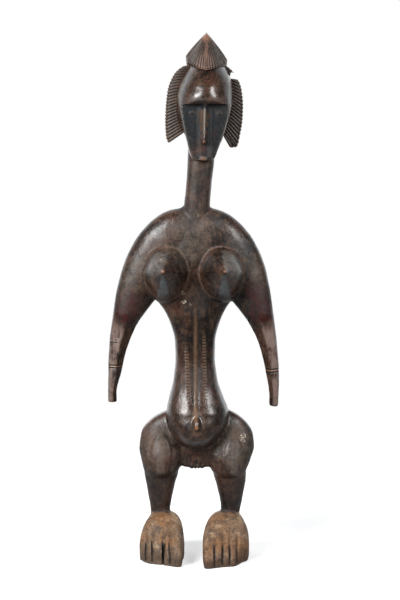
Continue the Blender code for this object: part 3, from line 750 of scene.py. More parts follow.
def small_carving(points):
    """How deep the carving goes at each point. Below zero it stands out."""
    x, y, z = points.T
    depth = np.zeros(len(points))
    front, breast = y < -3, y < -15
    for side in (LEFT, RIGHT):
        depth += breast * BREAST_RIM_DEPTH * cut(ellipse_distance(x * side, z, BREAST_RIM), 1.3)
        middle = FEET[side][6][0]
        foot = (np.abs(x - middle) < 30) & (z < 56) & (z > 2)
        ahead = y - np.clip((x - middle) * side, -30, 30) * TOE_SLANT[side]
        toes = foot * np.clip((TOES_FULL[side] - 2 - ahead) / 4, 0, 1)
        for groove in TOE_GROOVES[side]:
            depth += toes * TOE_DEPTH * cut(x - groove + 1.0 - 0.25 * np.sin(z * 0.3 + groove), 1.1)
        for number, wrinkle in enumerate(WRINKLES):
            wander = 1.6 * np.sin((x - middle) * 0.19 + number * 2.1 + side)
            depth += foot * (z > 20) * WRINKLE_DEPTH * cut(y - wrinkle - wander, 1.3)
    for cx, cz, rx, rz in KNEECAPS:
        inside = np.clip(1 - ((x - cx) / rx) ** 2 - ((z - cz) / rz) ** 2, 0, 1)
        depth -= front * KNEECAP_RISE * inside ** 0.6
    depth += (y < -34) * NAVEL_RIM_DEPTH * cut(ellipse_distance(x, z, NAVEL_RIM), 1.3)
    belly = front * np.clip((z - 172) / 10, 0, 1) * np.clip((305 - z) / 20, 0, 1) * (np.abs(x) < 40)
    depth += belly * CHANNEL_DEPTH * np.exp(-(((x - KEEL_X) / 4.6) ** 2))
    depth -= belly * KEEL_RISE * np.exp(-(((x - KEEL_X) / 1.5) ** 2))
    for ridge in CHANNEL_RIDGES:
        depth -= belly * RIDGE_RISE * np.exp(-(((x - ridge) / 2.8) ** 2)) * np.clip((z - 186) / 22, 0, 1)
    back = np.clip(y / 8, 0, 1) * np.clip((z - 190) / 30, 0, 1) * np.clip((392 - z) / 20, 0, 1)
    depth += back * SPINE_DEPTH * np.exp(-(((x - SPINE_X) / 5.0) ** 2)) * (np.abs(x) < 30)
    notch = (y < 4) & (z < 114) & (np.abs(x) < 14)
    depth += notch * NOTCH_DEPTH * cut(x - NOTCH_X, 1.5)
    split = (y < -34) & (z < 25) & (x < -20)
    depth += split * SPLIT_DEPTH * cut(x - SPLIT_X - (z - 14) * 0.06, 1.4) * np.clip((25 - z) / 6, 0, 1)
    lips = (np.abs(z - LIPS_Z) < 2) & (y < -30) & (np.abs(x - LIPS_X) < 7)
    return depth + lips * LIPS_DEPTH * cut(z - LIPS_Z, 0.9)


cuts = small_carving(skin_points(carving.data))
press(carving.data, cuts)
print("deepest small cut:", round(float(cuts.max()), 2), "mm at full height")

# %% [markdown]
# The forearms were planed with a few long strokes: one broad flat that faces outwards, and one that
# falls away to the inside, with a ridge between them that runs down to the hand.

# %% Plane the forearms
FOREARM_TOP, HAND_END, FOREARM_INSIDE = 284.0, 174.0, 62.0
OUTER_FALL, INNER_FALL = 0.36, 1.0  # how far a flat goes back for each millimetre across
RIDGE_SHARE = 0.15  # the ridge lies this far inwards of the middle, as a share of the half width


def forearm_flats(points, side):
    """For the points of one forearm: which they are, where its flats lie, and how far out they are."""
    rows = np.array(ARMS[side])
    arm = (points[:, 0] * side > FOREARM_INSIDE) & (points[:, 2] < FOREARM_TOP) & (points[:, 2] > HAND_END)
    x, y, z = points[arm].T
    middle, axis_y, half, reach = (np.interp(z, rows[:, 2], rows[:, i]) for i in (0, 1, 3, 4))
    out = (x - middle) * side + RIDGE_SHARE * half
    flat = axis_y - 0.93 * reach + np.where(out > 0, OUTER_FALL * out, -INNER_FALL * out)
    return arm, np.where(y < axis_y, flat, y), out


planed = skin_points(carving.data)
for side in (LEFT, RIGHT):
    arm, flat, out = forearm_flats(planed, side)
    share = np.clip((FOREARM_TOP - planed[arm, 2]) / 22, 0, 1)
    planed[arm, 1] += share * np.maximum(flat - planed[arm, 1], 0)
put_points(carving.data, planed)
print("forearms planed up to, mm:", FOREARM_TOP)

# %% [markdown]
# An adze never leaves a perfect curve. Broad, shallow waves, stretched along the grain, make the
# highlights wander as they do on the real figure.

# %% Add the waves of the tool
def waves(points, stretch, size, seed):
    """A smooth wander between -1 and 1, as a sum of sines in directions fixed by the seed."""
    chooser = np.random.default_rng(seed)
    total = np.zeros(len(points))
    for _ in range(14):
        direction = chooser.normal(size=3)
        direction[2] /= stretch
        direction *= 2 * math.pi / size / np.linalg.norm(direction) * chooser.uniform(0.6, 1.6)
        total += np.sin(points @ direction + chooser.uniform(0, 2 * math.pi))
    return total / 14 ** 0.5 / 1.6


BROAD_WAVE, FINE_WAVE = 0.22, 0.10
skin = skin_points(carving.data)
tool_waves = BROAD_WAVE * waves(skin, 2.5, 26, 4) + FINE_WAVE * waves(skin, 2.0, 10, 9)
tool_waves *= np.clip(skin[:, 2] / 6, 0, 1)  # the soles stay flat
tool_waves *= np.where(skin[:, 1] < face_plane(skin[:, 2]) + 3, 0.5, 1.0)
tool_waves = np.maximum(tool_waves + 0.25, 0)  # a tool takes wood off and adds none
press(carving.data, tool_waves)
print("tool waves, mm:", round(float(tool_waves.min()), 2), "to", round(float(tool_waves.max()), 2))

# %% Thin it where it is smooth
BODY_TRIANGLES = 150000
thin = carving.modifiers.new("fewer triangles where it is smooth", "DECIMATE")
carving.data.calc_loop_triangles()
thin.ratio = min(1.0, BODY_TRIANGLES / len(carving.data.loop_triangles))
settle(carving)
carving.data.calc_loop_triangles()
print("triangles of the body:", len(carving.data.loop_triangles))

# %% [markdown]
# ## The hair
#
# The crest is a gable of fine braids that fall from a short ridge to an overhanging rim. The two side
# tresses are plates of slanting braids. A braid here is one rounded rib between two cuts, so the forms
# are lofts with six points across each rib. They run into the head without a join.

# %% Build the crest
GROOVES_ROUND_CREST = 44
CREST_CENTRE, CREST_HALF = (14.2, 8.0), (23.4, 39.0)
CREST_RIDGE = ((-2.0, 598.8), (14.0, 600.0), (34.0, 590.0))
CREST_FRONT_Z, CREST_BACK_Z = 566.5, 545.0
CREST_SIDE_Z = {LEFT: 574.0, RIGHT: 569.5}
CREST_RIM, CREST_BULGE, CREST_GROOVE_DEPTH = 7.0, 5.0, 1.0
CREST_FRONT_RIM = 2.5  # the rim is this low in front, where the braids run out over it
CREST_FRONT_POINT = 1.35  # above 1 the rim comes to a point at the front
POINTS_ACROSS_RIB = 6


def rib_cut(phase):
    """The depth below the crown of a rounded rib, from 0 to 1, at this many ribs along."""
    return 1 - np.abs(np.sin(math.pi * phase)) ** 0.7


def crest_form(rings=26):
    around = GROOVES_ROUND_CREST * POINTS_ACROSS_RIB
    turn = np.linspace(0, 2 * math.pi, around, endpoint=False)
    ridge_y, ridge_z = np.array(CREST_RIDGE).T
    centre_x, centre_y = CREST_CENTRE
    point = np.where(np.sin(turn) < 0, CREST_FRONT_POINT, 0.92)
    base_x = centre_x + CREST_HALF[0] * signed_power(np.cos(turn), point)
    base_y = centre_y + CREST_HALF[1] * signed_power(np.sin(turn), point)
    front = np.clip((centre_y - base_y) / CREST_HALF[1], 0, 1) ** 2
    back = np.clip((base_y - centre_y) / CREST_HALF[1], 0, 1) ** 1.5
    side_z = np.interp(np.cos(turn), [-1, 1], [CREST_SIDE_Z[LEFT], CREST_SIDE_Z[RIGHT]])
    base_z = side_z + (CREST_FRONT_Z - side_z) * front + (CREST_BACK_Z - side_z) * back
    corner = np.clip((np.abs(np.cos(turn)) - 0.90) / 0.08, 0, 1)
    rim = np.where(np.sin(turn) < 0, CREST_FRONT_RIM + (CREST_RIM - CREST_FRONT_RIM) * corner, CREST_RIM)
    base_z -= CREST_RIM - rim
    base = np.stack([base_x, base_y, base_z], axis=1)
    top_y = np.clip(base_y, ridge_y[0], ridge_y[-1])
    top = np.stack([np.full(around, centre_x), top_y, np.interp(top_y, ridge_y, ridge_z)], axis=1)
    outward = base - [centre_x, centre_y, 0]
    outward[:, 2] = 0
    outward /= np.linalg.norm(outward, axis=1)[:, None]
    rib = (CREST_GROOVE_DEPTH * rib_cut(np.arange(around) / POINTS_ACROSS_RIB))[:, None]
    layers = []
    for share in np.linspace(0.04, 1, rings):
        fade = min(1, share * 2.5)
        layer = top + (base - top) * share + outward * CREST_BULGE * share * (1 - share)
        plain = 1 - corner * np.clip((share - 0.86) / 0.06, 0, 1)  # a smooth lip at either corner
        layer[:, 2] -= rib[:, 0] * fade * plain
        layers.append(layer - outward * rib * fade * plain[:, None])
    down = np.stack([np.zeros(around), np.zeros(around), rim], axis=1)
    ribbed = rib * (1 - corner)[:, None]
    for drop in np.linspace(0.15, 1, 6):
        layers.append(base - outward * (ribbed + 0.5 * drop * drop) - down * drop)
    layers.append(base - outward * 3.5 - down - [0, 0, 0.6])
    layers.append(base - outward * 7 - down - [0, 0, 1.0])
    ends = [[centre_x, centre_y, CREST_BACK_Z + 12], [centre_x, ridge_y[1], ridge_z[1]]]
    return np.concatenate([np.array(layers)[::-1].reshape(-1, 3), ends]), tube_faces(len(layers), around)


# %% [markdown]
# The right tress has lost a piece near its top. The gap is left as it is: an old break, dark inside.

# %% Build the tresses
BRAIDS_PER_TRESS = 25
TRESS_Y, TRESS_HALF_THICKNESS, BRAID_GROOVE_DEPTH = 8.0, 6.5, 1.1
TRESS_OUTER = {
    LEFT: [(-12, 562.6), (-17.9, 558.6), (-23.8, 551.4), (-29.8, 536), (-32.2, 516), (-32.8, 500),
           (-31.8, 482), (-29.2, 475.6)],
    RIGHT: [(38, 562), (43, 557.6), (48.9, 549.5), (54, 536), (55.7, 518), (55.2, 503),
            (52.6, 486), (48.0, 470.9), (41.0, 470.4)],
}
TRESS_INNER = {
    LEFT: [(1, 564), (-2, 560.5), (-5.5, 556), (-9.5, 544), (-11.5, 525), (-11.5, 510), (-11, 495),
           (-9, 489.5)],
    RIGHT: [(28, 563.5), (33, 560), (36, 555.5), (38.5, 545), (39.5, 531), (39, 518), (37, 505), (34.5, 494),
            (32.5, 485)],
}
CHIP_CENTRE, CHIP_SIZE, CHIP_TILT = (47.6, 8.0, 550.9), (14.0, 20.0, 7.2), math.radians(10)


def tress_form(side, around=28):
    sections = BRAIDS_PER_TRESS * POINTS_ACROSS_RIB + 1
    outer = eased(TRESS_OUTER[side], sections)
    inner = eased(TRESS_INNER[side], sections)
    turn = np.linspace(0, 2 * math.pi, around, endpoint=False)
    rings = []
    for number, (o, n) in enumerate(zip(outer, inner)):
        rib = BRAID_GROOVE_DEPTH * float(rib_cut(number / POINTS_ACROSS_RIB))
        centre, half = (o + n) / 2, (o - n) / 2
        along = signed_power(np.cos(turn), 0.6) * (1 - rib / np.linalg.norm(half))
        through = signed_power(np.sin(turn), 0.6) * (TRESS_HALF_THICKNESS - rib)
        ring = np.stack([centre[0] + half[0] * along, TRESS_Y + through, centre[1] + half[1] * along], axis=1)
        rings.append(ring if side == LEFT else ring[::-1])
    points = np.array(rings)
    ends = [points[0].mean(axis=0), points[-1].mean(axis=0)]
    return np.concatenate([points.reshape(-1, 3), ends]), tube_faces(sections, around)


crest = object_from("crest", [crest_form()])
left_tress = object_from("left_tress", [tress_form(LEFT)])
right_tress = object_from("right_tress", [tress_form(RIGHT)])
chip_place = (Vector(CHIP_CENTRE) + Vector((0, BALANCE, 0))) * UNIT
cut_away(right_tress, "the lost piece", chip_place, Vector(CHIP_SIZE) * UNIT, CHIP_TILT, cuts=5)
hair = (crest, left_tress, right_tress)
print("points of the hair:", sum(len(piece.data.vertices) for piece in hair))

# %% [markdown]
# The finish treats the hair differently from the skin, so every point carries a mark that says which
# it is before the pieces become one mesh. No point of it may leave the plain solid's box.

# %% Join the hair to the body
def mark(mesh, name, values):
    layer = mesh.attributes.new(name, "FLOAT", "POINT")
    layer.data.foreach_set("value", np.asarray(values, np.float32))


for piece in (carving, *hair):
    mark(piece.data, "hair", np.full(len(piece.data.vertices), float(piece is not carving)))
bpy.ops.object.select_all(action="DESELECT")
for piece in (carving, *hair):
    piece.select_set(True)
bpy.context.view_layer.objects.active = carving
bpy.ops.object.join()
low_corner, high_corner = (np.array(corner) / UNIT - [0, BALANCE, 0] for corner in solid_box)
within = np.clip(skin_points(carving.data), low_corner, high_corner)
put_points(carving.data, within)
carving.data.shade_smooth()
carving.data.calc_loop_triangles()
print("triangles in all:", len(carving.data.loop_triangles))

# %% [markdown]
# ## Wear and dirt, measured from the form
#
# Hands polish what stands proud and leave dirt in what lies deep. Both follow from the form: the mesh is
# blurred, and the distance of each point from its blurred place, along its normal, says whether it
# stands out or lies in a hollow. The two marks then drive the finish.

# %% Measure what stands proud
def proud(mesh, reach):
    """How far each point stands out from the mesh blurred over that reach."""
    points = skin_points(mesh)
    ends = np.empty(len(mesh.edges) * 2, np.int32)
    mesh.edges.foreach_get("vertices", ends)
    a, b = ends.reshape(-1, 2).T
    spacing = np.linalg.norm(points[a] - points[b], axis=1).mean()
    count = np.bincount(a, minlength=len(points)) + np.bincount(b, minlength=len(points))
    kept = points.copy()
    for _ in range(max(1, round(2 * (reach / spacing) ** 2))):
        total = np.stack([
            np.bincount(a, weights=kept[b, i], minlength=len(points))
            + np.bincount(b, weights=kept[a, i], minlength=len(points))
            for i in range(3)
        ], axis=1)
        kept = 0.5 * kept + 0.5 * total / np.maximum(count, 1)[:, None]
    return ((points - kept) * skin_normals(mesh)).sum(axis=1)


def share_of(values, start, reach):
    """0 at the start and below it, 1 a reach further on."""
    return np.clip((values - start) / reach, 0, 1)


fine, broad = proud(carving.data, 1.6), proud(carving.data, 4.5)
mark(carving.data, "edge", share_of(fine, 0.12, 0.35) * 0.6 + share_of(broad, 0.9, 2.0) * 0.5)
mark(carving.data, "hollow", share_of(-fine, 0.05, 0.35) * 0.6 + share_of(-broad, 0.1, 1.5) * 0.5)
for share in (50, 90, 99):
    reaches = [round(float(np.percentile(stands_out, share)), 2) for stands_out in (fine, broad)]
    print(share, "% lie below, mm:", reaches)

# %% [markdown]
# Four more marks say where the knife cut, where the face is, which parts are the flats of the forearms,
# and where the sharp border of the face runs, which is later given a painted highlight.

# %% Mark the cuts, the face and the flats
surface = skin_points(carving.data)
out_x, out_y, up = surface.T
knife_depth = small_carving(surface + skin_normals(carving.data) * 0.4) * (np.abs(up - 300) < 299)
mark(carving.data, "knife", np.clip(knife_depth / 0.8, 0, 1) * (up < 470))
below_brow = (up < BROW_Z) & (up > CHIN_Z - 1)
mark(carving.data, "face", (out_y < face_plane(up) + 2.0) & below_brow & (np.abs(out_x - 12) < 32))
flats = np.zeros(len(surface))
for side in (LEFT, RIGHT):
    arm, flat, out = forearm_flats(surface, side)
    outer = share_of(out, -0.5, 1.0) * share_of(-up[arm], -FOREARM_TOP, 26)
    flats[arm] = outer * np.clip(1.5 - np.abs(out_y[arm] - flat), 0, 1)
mark(carving.data, "forearm", flats)
head_rows = np.array(HEAD)
border = np.interp(up, head_rows[:, 2], head_rows[:, 3]) - 5
at_border = (np.abs(out_y - face_plane(up)) < 2.5) & below_brow & (up > 459) & (np.abs(out_x - 11.6) > border)
mark(carving.data, "border_glint", at_border * share_of(fine, 0.03, 0.2))
print("points on the face's border:", int(at_border.sum()))

# %% [markdown]
# ## A little language for finishes
#
# A finish is arithmetic on masks. Writing it as nodes is long, so a value here is a small object whose
# +, - and * add the nodes. Plain numbers are worked out in Python, and only what varies over the wood
# becomes a node.

# %% The words of the language
class Tone:
    """One output socket of a finish."""

    def __init__(self, finish, socket):
        self.finish, self.socket = finish, socket

    def _math(self, operation, first, second):
        return self.finish.add("Math", {0: first, 1: second}, operation=operation)

    def __add__(self, other):
        return self._math("ADD", self, other)

    def __sub__(self, other):
        return self._math("SUBTRACT", self, other)

    def __rsub__(self, other):
        return self._math("SUBTRACT", other, self)

    def __mul__(self, other):
        return self._math("MULTIPLY", self, other)

    def __pow__(self, other):
        return self._math("POWER", self, other)

    def __abs__(self):
        return self.finish.add("Math", {0: self}, operation="ABSOLUTE")

    __radd__, __rmul__ = __add__, __mul__


class Finish:
    """A material, with the few moves that this lesson needs."""

    def __init__(self, name):
        self.material = bpy.data.materials.new(name)
        self.material.use_nodes = True
        self.tree = self.material.node_tree
        self.shader = self.tree.nodes["Principled BSDF"]
        self.place = self.add("TexCoord", {}, out="Object")

    def add(self, kind, inputs, out=0, **settings):
        node = self.tree.nodes.new("ShaderNode" + kind)
        for key, value in settings.items():
            setattr(node, key, value)
        for key, value in inputs.items():
            if isinstance(value, Tone):
                self.tree.links.new(value.socket, node.inputs[key])
            else:
                node.inputs[key].default_value = value
        return Tone(self, node.outputs[out])

    def step(self, value, low, high):
        """0 below low, 1 above high, and smooth between."""
        settings = {"Value": value, "From Min": low, "From Max": high}
        return self.add("MapRange", settings, interpolation_type="SMOOTHSTEP")

    def stretched(self, x, y, z):
        return self.add("VectorMath", {0: self.place, 1: (x, y, z)}, operation="MULTIPLY")

    def noise(self, scale, detail=4.0, rough=0.55, at=None):
        where = at or self.place
        return self.add("TexNoise", {"Vector": where, "Scale": scale, "Detail": detail, "Roughness": rough})

    def mark(self, name):
        return self.add("Attribute", {}, out="Fac", attribute_name=name)

    def paint(self, under, *coats):
        """Lays shades over a colour, one after another, each through its own mask."""
        for mask, shade in coats:
            under = self.add("Mix", {0: mask, 6: under, 7: shade}, out=2, data_type="RGBA")
        return under

    def near(self, spot, radius, wander):
        """1 at a spot on the wood, fading out at about this radius with a ragged edge."""
        centre = (spot[0] * UNIT, (spot[1] + BALANCE) * UNIT, spot[2] * UNIT)
        away = self.add("VectorMath", {0: self.place, 1: centre}, out="Value", operation="DISTANCE")
        return 1 - self.step(away + (wander - 0.5) * (radius * UNIT * 1.2), radius * UNIT * 0.5, radius * UNIT)

    def wear(self, socket, value):
        self.tree.links.new(value.socket, self.shader.inputs[socket])


def total(tones):
    """The sum of several tones."""
    found, *others = tones
    for tone in others:
        found = found + tone
    return found


def srgb(red, green, blue):
    """A colour as a screen shows it, 0 to 255, in the numbers that a shader takes."""
    shades = [v / 255 for v in (red, green, blue)]
    return tuple(v / 12.92 if v <= 0.04045 else ((v + 0.055) / 1.055) ** 2.4 for v in shades) + (1,)


print("a worn brown, as a shader takes it:", [round(v, 3) for v in srgb(88, 64, 48)])

# %% [markdown]
# ## The patina
#
# Oil and handling have turned the wood almost black, with warm brown where it wore thin and deep red on
# the arms. Edges, rims and the tips of the breasts are rubbed back to bright brown. The feet lost their
# patina and show bare, dry wood. One material holds all of this, because the changes are gradual and
# the figure is one piece. Every part of it needs the same few noises, and the place on the wood in
# six-hundredths of the height.

# %% Mix the colours of the skin
BLACK_OIL, UMBER, OLIVE = srgb(17, 12, 10), srgb(59, 37, 28), srgb(80, 61, 44)
# the second is a grey haze, partly dust and partly a painted sheen
RED_OIL, SHEEN_AND_DUST_HAZE = srgb(44, 10, 8), srgb(84, 72, 60)
# the first is a painted sheen for the planed forearms
FOREARM_SHEEN, KEEL_BROWN = srgb(114, 97, 90), srgb(116, 86, 62)
# both are painted reflections: a cool one of the floor and a grey one of the lights
BLUE_SHEEN, REFLECTION_GREY = srgb(78, 83, 86), srgb(90, 84, 78)
RUBBED, BRIGHT_RUB, DUST = srgb(88, 64, 48), srgb(132, 88, 60), srgb(196, 184, 164)

patina = Finish("patinated_wood")
in_units = patina.stretched(1 / UNIT, 1 / UNIT, 1 / UNIT)
along_x, deep, along_z = (patina.add("SeparateXYZ", {0: in_units}, out=axis) for axis in "XYZ")
along_y = deep - BALANCE
blotch, fine_blotch, mottle = patina.noise(26), patina.noise(120, 5), patina.noise(310, 4, 0.6)
speckle = patina.noise(760, 5, 0.7)
grain = patina.noise(1.0, 5, 0.6, at=patina.stretched(420, 420, 60))
ragged = fine_blotch - 0.5
edge, hollow, is_hair = patina.mark("edge"), patina.mark("hollow"), patina.mark("hair")

brown = patina.step(fine_blotch + (grain - 0.5) * 0.6, 0.46, 0.74)
flecks = patina.step(patina.noise(700, 3, 0.7), 0.52, 0.68)
colour = patina.paint(
    BLACK_OIL,
    (patina.step(blotch + (mottle - 0.5) * 0.7, 0.38, 0.72), UMBER),
    (brown * 0.45, OLIVE),
    (flecks * patina.step(blotch, 0.35, 0.6) * 0.5, RUBBED),
)
print("nodes of the skin so far:", len(patina.tree.nodes))


# %% [markdown]
# Places on the figure get their own wear, and the chest and hips a grey haze that is partly dust and
# partly painted sheen. Each is a soft, ragged spot round a point of the carving, and the strongest spot
# wins where two overlap.

# %% Redden the arms, paint a sheen on the chest and rub the high places
def spots(places, wander):
    found = patina.near(*places[0], wander)
    for spot, radius in places[1:]:
        found = patina.add("Math", {0: found, 1: patina.near(spot, radius, wander)}, operation="MAXIMUM")
    return found


REDDENED = [((-78, -14, 286), 19), ((-72, -16, 300), 15), ((80, -14, 288), 19), ((70, -18, 310), 16),
            ((17, -28, 215), 9), ((20, -26, 200), 9)]
HAZY = [((-6, -22, 372), 34), ((-26, -22, 364), 26), ((-64, -15, 330), 26), ((64, -15, 330), 26),
        ((-44, -18, 132), 34), ((50, -18, 132), 34)]
RUBBED_SPOTS = [((34.2, -62, 337.6), 2.2), ((-34.2, -62, 337.6), 3.6), ((3.2, -47, 157.5), 3.4),
                ((14, 0, 600), 12)]
hazy = spots(HAZY, blotch)
sheen_streaks = patina.step(grain + ragged * 0.8, 0.24, 0.60)
rubbing = edge * 1.3 * patina.step(fine_blotch, 0.34, 0.60)
reds = spots(REDDENED, blotch) * patina.step(fine_blotch + (grain - 0.5) * 0.8, 0.30, 0.60)
colour = patina.paint(
    colour,
    # a grey haze on the chest and hips: partly dust, partly a painted sheen
    (hazy * patina.step(speckle + ragged * 0.8, 0.36, 0.66) * 0.42, SHEEN_AND_DUST_HAZE),
    # a painted sheen in long bands over the polished flats of the forearms
    (patina.mark("forearm") * sheen_streaks * 0.78, FOREARM_SHEEN),
    (reds * 0.9, RED_OIL),
    (patina.step(rubbing, 0.10, 0.75) * 0.8, RUBBED),
    (spots(RUBBED_SPOTS, fine_blotch) * 0.8, BRIGHT_RUB),
)
print("reddened places:", len(REDDENED), "dull places:", len(HAZY), "rubbed tips:", len(RUBBED_SPOTS))


# %% Brighten the keel and the rims
def band(value, centre, half):
    """1 along a line where a coordinate has this value, fading out at this half width."""
    return 1 - patina.step(abs(value - centre), half * 0.4, half)


def rim(rim_sizes, width, mirror=1):
    """1 along an ellipse, seen from the front."""
    cx, cz, rx, rz = rim_sizes
    across, upward = (along_x * mirror - cx) * (1 / rx), (along_z - cz) * (1 / rz)
    round_it = (across * across + upward * upward) ** 0.5 + ragged * 0.05
    return 1 - patina.step(abs(round_it - 1) * ((rx + rz) / 2), width * 0.3, width)


facing, chest, belly_front = (1 - patina.step(along_y, *ends) for ends in ((-12, -8), (-17, -13), (-34, -31)))
keel = band(along_x + ragged * 2, KEEL_X, 3.4) * band(along_z, 225, 84) * facing
rims = (rim(BREAST_RIM, 1.5) + rim(BREAST_RIM, 1.5, -1)) * chest + rim(NAVEL_RIM, 2.4) * belly_front
colour = patina.paint(
    colour,
    (keel * patina.step(mottle + grain, 0.60, 1.00) * 0.95, KEEL_BROWN),
    (rims * patina.step(mottle, 0.36, 0.66) * 0.8, RUBBED),
)
print("keel at x, mm:", KEEL_X)

# %% [markdown]
# Two rows of small scars run down beside the keel, like strings of beads. They are finer than the mesh,
# so they are worked out in the finish, as a colour and as a part of the bump.

# %% String the scars
SCAR_ROWS = [((-9.4, 250.0), (-5.0, 182.0)), ((11.0, 267.0), (13.4, 186.0))]  # x and z at either end
SCAR_STEP, SCAR_HALF = 3.4, 2.4
beads = patina.add("Math", {0: along_z * (2 * math.pi / SCAR_STEP)}, operation="SINE")
rows = []
for (top_x, top_z), (low_x, low_z) in SCAR_ROWS:
    ends = {"Value": along_z, "From Min": low_z, "From Max": top_z, "To Min": low_x, "To Max": top_x}
    away = abs(along_x - patina.add("MapRange", ends))
    between = patina.step(along_z, low_z, low_z + 3) * (1 - patina.step(along_z, top_z - 14, top_z))
    rows.append((1 - patina.step(away, SCAR_HALF * 0.6, SCAR_HALF)) * between)
scar_lines = total(rows) * facing
scars = scar_lines * patina.step(beads, -0.1, 0.6)
colour = patina.paint(colour, (scar_lines * 0.30, KEEL_BROWN), (scars * 0.9, BLACK_OIL))
print("scars in each row:", [round((top[1] - low[1]) / SCAR_STEP) for top, low in SCAR_ROWS])

# %% [markdown]
# Two fine rings were cut round each wrist with the point of a knife, and one more line above the left
# hand. They too are finer than the mesh, so they are drawn in the finish and pressed in by the bump.

# %% Ring the wrists
WRIST_RINGS = {LEFT: (224.4, 221.4), RIGHT: (219.8, 216.4)}
WRIST_RING_TILT = {LEFT: -0.02, RIGHT: 0.05}
FOREARM_LINE = 250.5
rings = [patina.step(along_x * LEFT, 86, 87) * band(along_z, FOREARM_LINE, 0.8) * facing]
bands = []
for side in (LEFT, RIGHT):
    beyond = patina.step(along_x * side, 74, 76)
    level = along_z - (along_x - side * 90) * WRIST_RING_TILT[side]
    rings += [beyond * band(level, height, 1.35) for height in WRIST_RINGS[side]]
    bands.append(beyond * band(level, sum(WRIST_RINGS[side]) / 2, 2.2))
wrist_rings = total(rings)
colour = patina.paint(colour, (total(bands) * 0.5, BRIGHT_RUB), (wrist_rings * 0.95, BLACK_OIL))
print("lines on the forearms:", len(rings))

# %% [markdown]
# Below each nipple a narrow flat mirrors the floor, and this cool grey reflection is painted on. The
# outer flats above it are smooth and get a painted grey reflection as well, up to a crease, while the
# inner ones stay dark.

# %% Lay the sheen under the breasts
NIPPLE_X, NIPPLE_Z = BREAST[-1][0], BREAST[-1][2]
OUTER_FLATS = {LEFT: (-0.90, 0.44), RIGHT: (0.96, 0.26)}  # the way away from the crease


def underside(side):
    down = (337 - along_z) * (1 / 34)
    wedge = 1 - patina.step(abs(along_x - side * NIPPLE_X + ragged * 8) - down * 8.5, -2.0, 1.5)
    return wedge * patina.step(down, 0.0, 0.15) * (1 - patina.step(down, 0.8, 1.05))


def outer_flat(side):
    way_x, way_z = OUTER_FLATS[side]
    from_x, from_z = along_x - side * NIPPLE_X, along_z - NIPPLE_Z
    past = patina.step(from_x * way_x + from_z * way_z + ragged * 8, 0, 2.6)
    inside_x, inside_z = from_x * (1 / 24), (from_z + 4) * (1 / 26)
    inside = 1 - patina.step(inside_x * inside_x + inside_z * inside_z, 0.55, 1.0)
    return past * inside * patina.step(from_z, -10, -2)


sheen = (underside(LEFT) + underside(RIGHT)) * chest
flat_reflections = (outer_flat(LEFT) + outer_flat(RIGHT)) * chest
colour = patina.paint(
    colour,
    # a painted cool reflection of the floor on the flat under each nipple
    (sheen * patina.step(speckle + fine_blotch * 0.5, 0.45, 0.85) * 0.9, BLUE_SHEEN),
    # a painted grey reflection on the outer flats of the breasts, up to the crease
    (flat_reflections * patina.step(speckle + fine_blotch * 0.8, 0.60, 1.15) * 0.75, REFLECTION_GREY),
)
print("grey flats on the breasts:", len(OUTER_FLATS))

# %% [markdown]
# The belly overhangs, so a band along its underside mirrors the floor too, painted on as a cool
# reflection. The lower edge of each kneecap gets a little painted shade, and its crown a painted grey
# highlight. The shins are darker than the thighs.

# %% Band the belly and edge the kneecaps
BELLY_CURVE = (3.6, 166, 28.5, 28.5)
KNEE_HIGHLIGHTS = [(-38.5, 117.0), (46.0, 112.0)]
under = rim(BELLY_CURVE, 5.0) * belly_front * (1 - patina.step(along_z, 146, 158))
edges = [rim(cap, 2.6) * (1 - patina.step(along_z, cap[1] - 18, cap[1] - 4)) for cap in KNEECAPS]
streaks = [band(along_x + ragged * 8, at_x, 6.5) * band(along_z, at_z, 23) for at_x, at_z in KNEE_HIGHLIGHTS]
below_knees = 1 - patina.step(along_z, 84, 100)
colour = patina.paint(
    colour,
    # a painted cool reflection of the floor along the underside of the belly
    (under * patina.step(fine_blotch, 0.25, 0.6) * 0.4, BLUE_SHEEN),
    # painted shade along the lower edge of each kneecap, under its ledge
    (total(edges) * facing * 0.4, BLACK_OIL),
    # a painted grey highlight down the crown of each kneecap
    (total(streaks) * facing * patina.step(speckle, 0.3, 0.6) * 0.55, REFLECTION_GREY),
    (below_knees * patina.step(fine_blotch, 0.3, 0.6) * 0.45, BLACK_OIL),
)
print("kneecaps edged:", len(KNEECAPS), "streaks on the knees:", len(KNEE_HIGHLIGHTS))

# %% [markdown]
# The face is the coolest, darkest part. Its nose is worn brown on both flanks and has a painted pale
# highlight along its ridge; the sharp edges round the face get a painted pale highlight too. The eyes
# are small dark knobs, and the temples are smooth with a painted grey reflection.

# %% Tone the face
# the last is a painted pale highlight
NOSE_BROWN, COOL_FACE, PALE_HIGHLIGHT = srgb(76, 54, 36), srgb(26, 30, 33), srgb(104, 94, 84)
NOSE_FLANKS = [((8.4, -36, 511), 6), ((8.4, -37, 503), 6), ((8.6, -37, 495), 6), ((9.2, -38, 486), 6),
               ((16.0, -36, 508), 5), ((15.6, -37, 499), 5), ((15.0, -38, 490), 5)]
NOSE_TOP = [((12.2, -40, 512), 7.0), ((12.0, -41, 502), 7.0), ((11.8, -42, 493), 6.0)]
NOSE_BASE = [((11.3, -42, 479), 4.5), ((10.5, -36, 460.5), 6.0)]
NOSE_CORNERS = (5.6, 17.4)  # where its flanks meet the cheeks
EYE_SPOTS = [((x, float(face_plane(z)), z), 4.6) for x, z in EYES]
TEMPLE_REFLECTIONS = [((-17, -14, 553), 12), ((-19, -14, 540), 12), ((-19, -14, 527), 11)]
on_face, knife = patina.mark("face"), patina.mark("knife")
flanks = on_face * spots(NOSE_FLANKS, blotch)
nose_corners = total([band(along_x, corner, 3.4) for corner in NOSE_CORNERS]) * on_face * band(along_z, 495, 40)
nose_ridge_highlight = spots(NOSE_TOP, fine_blotch) * band(along_x, 12.0, 2.8)
nose_base = on_face * spots(NOSE_BASE, fine_blotch)
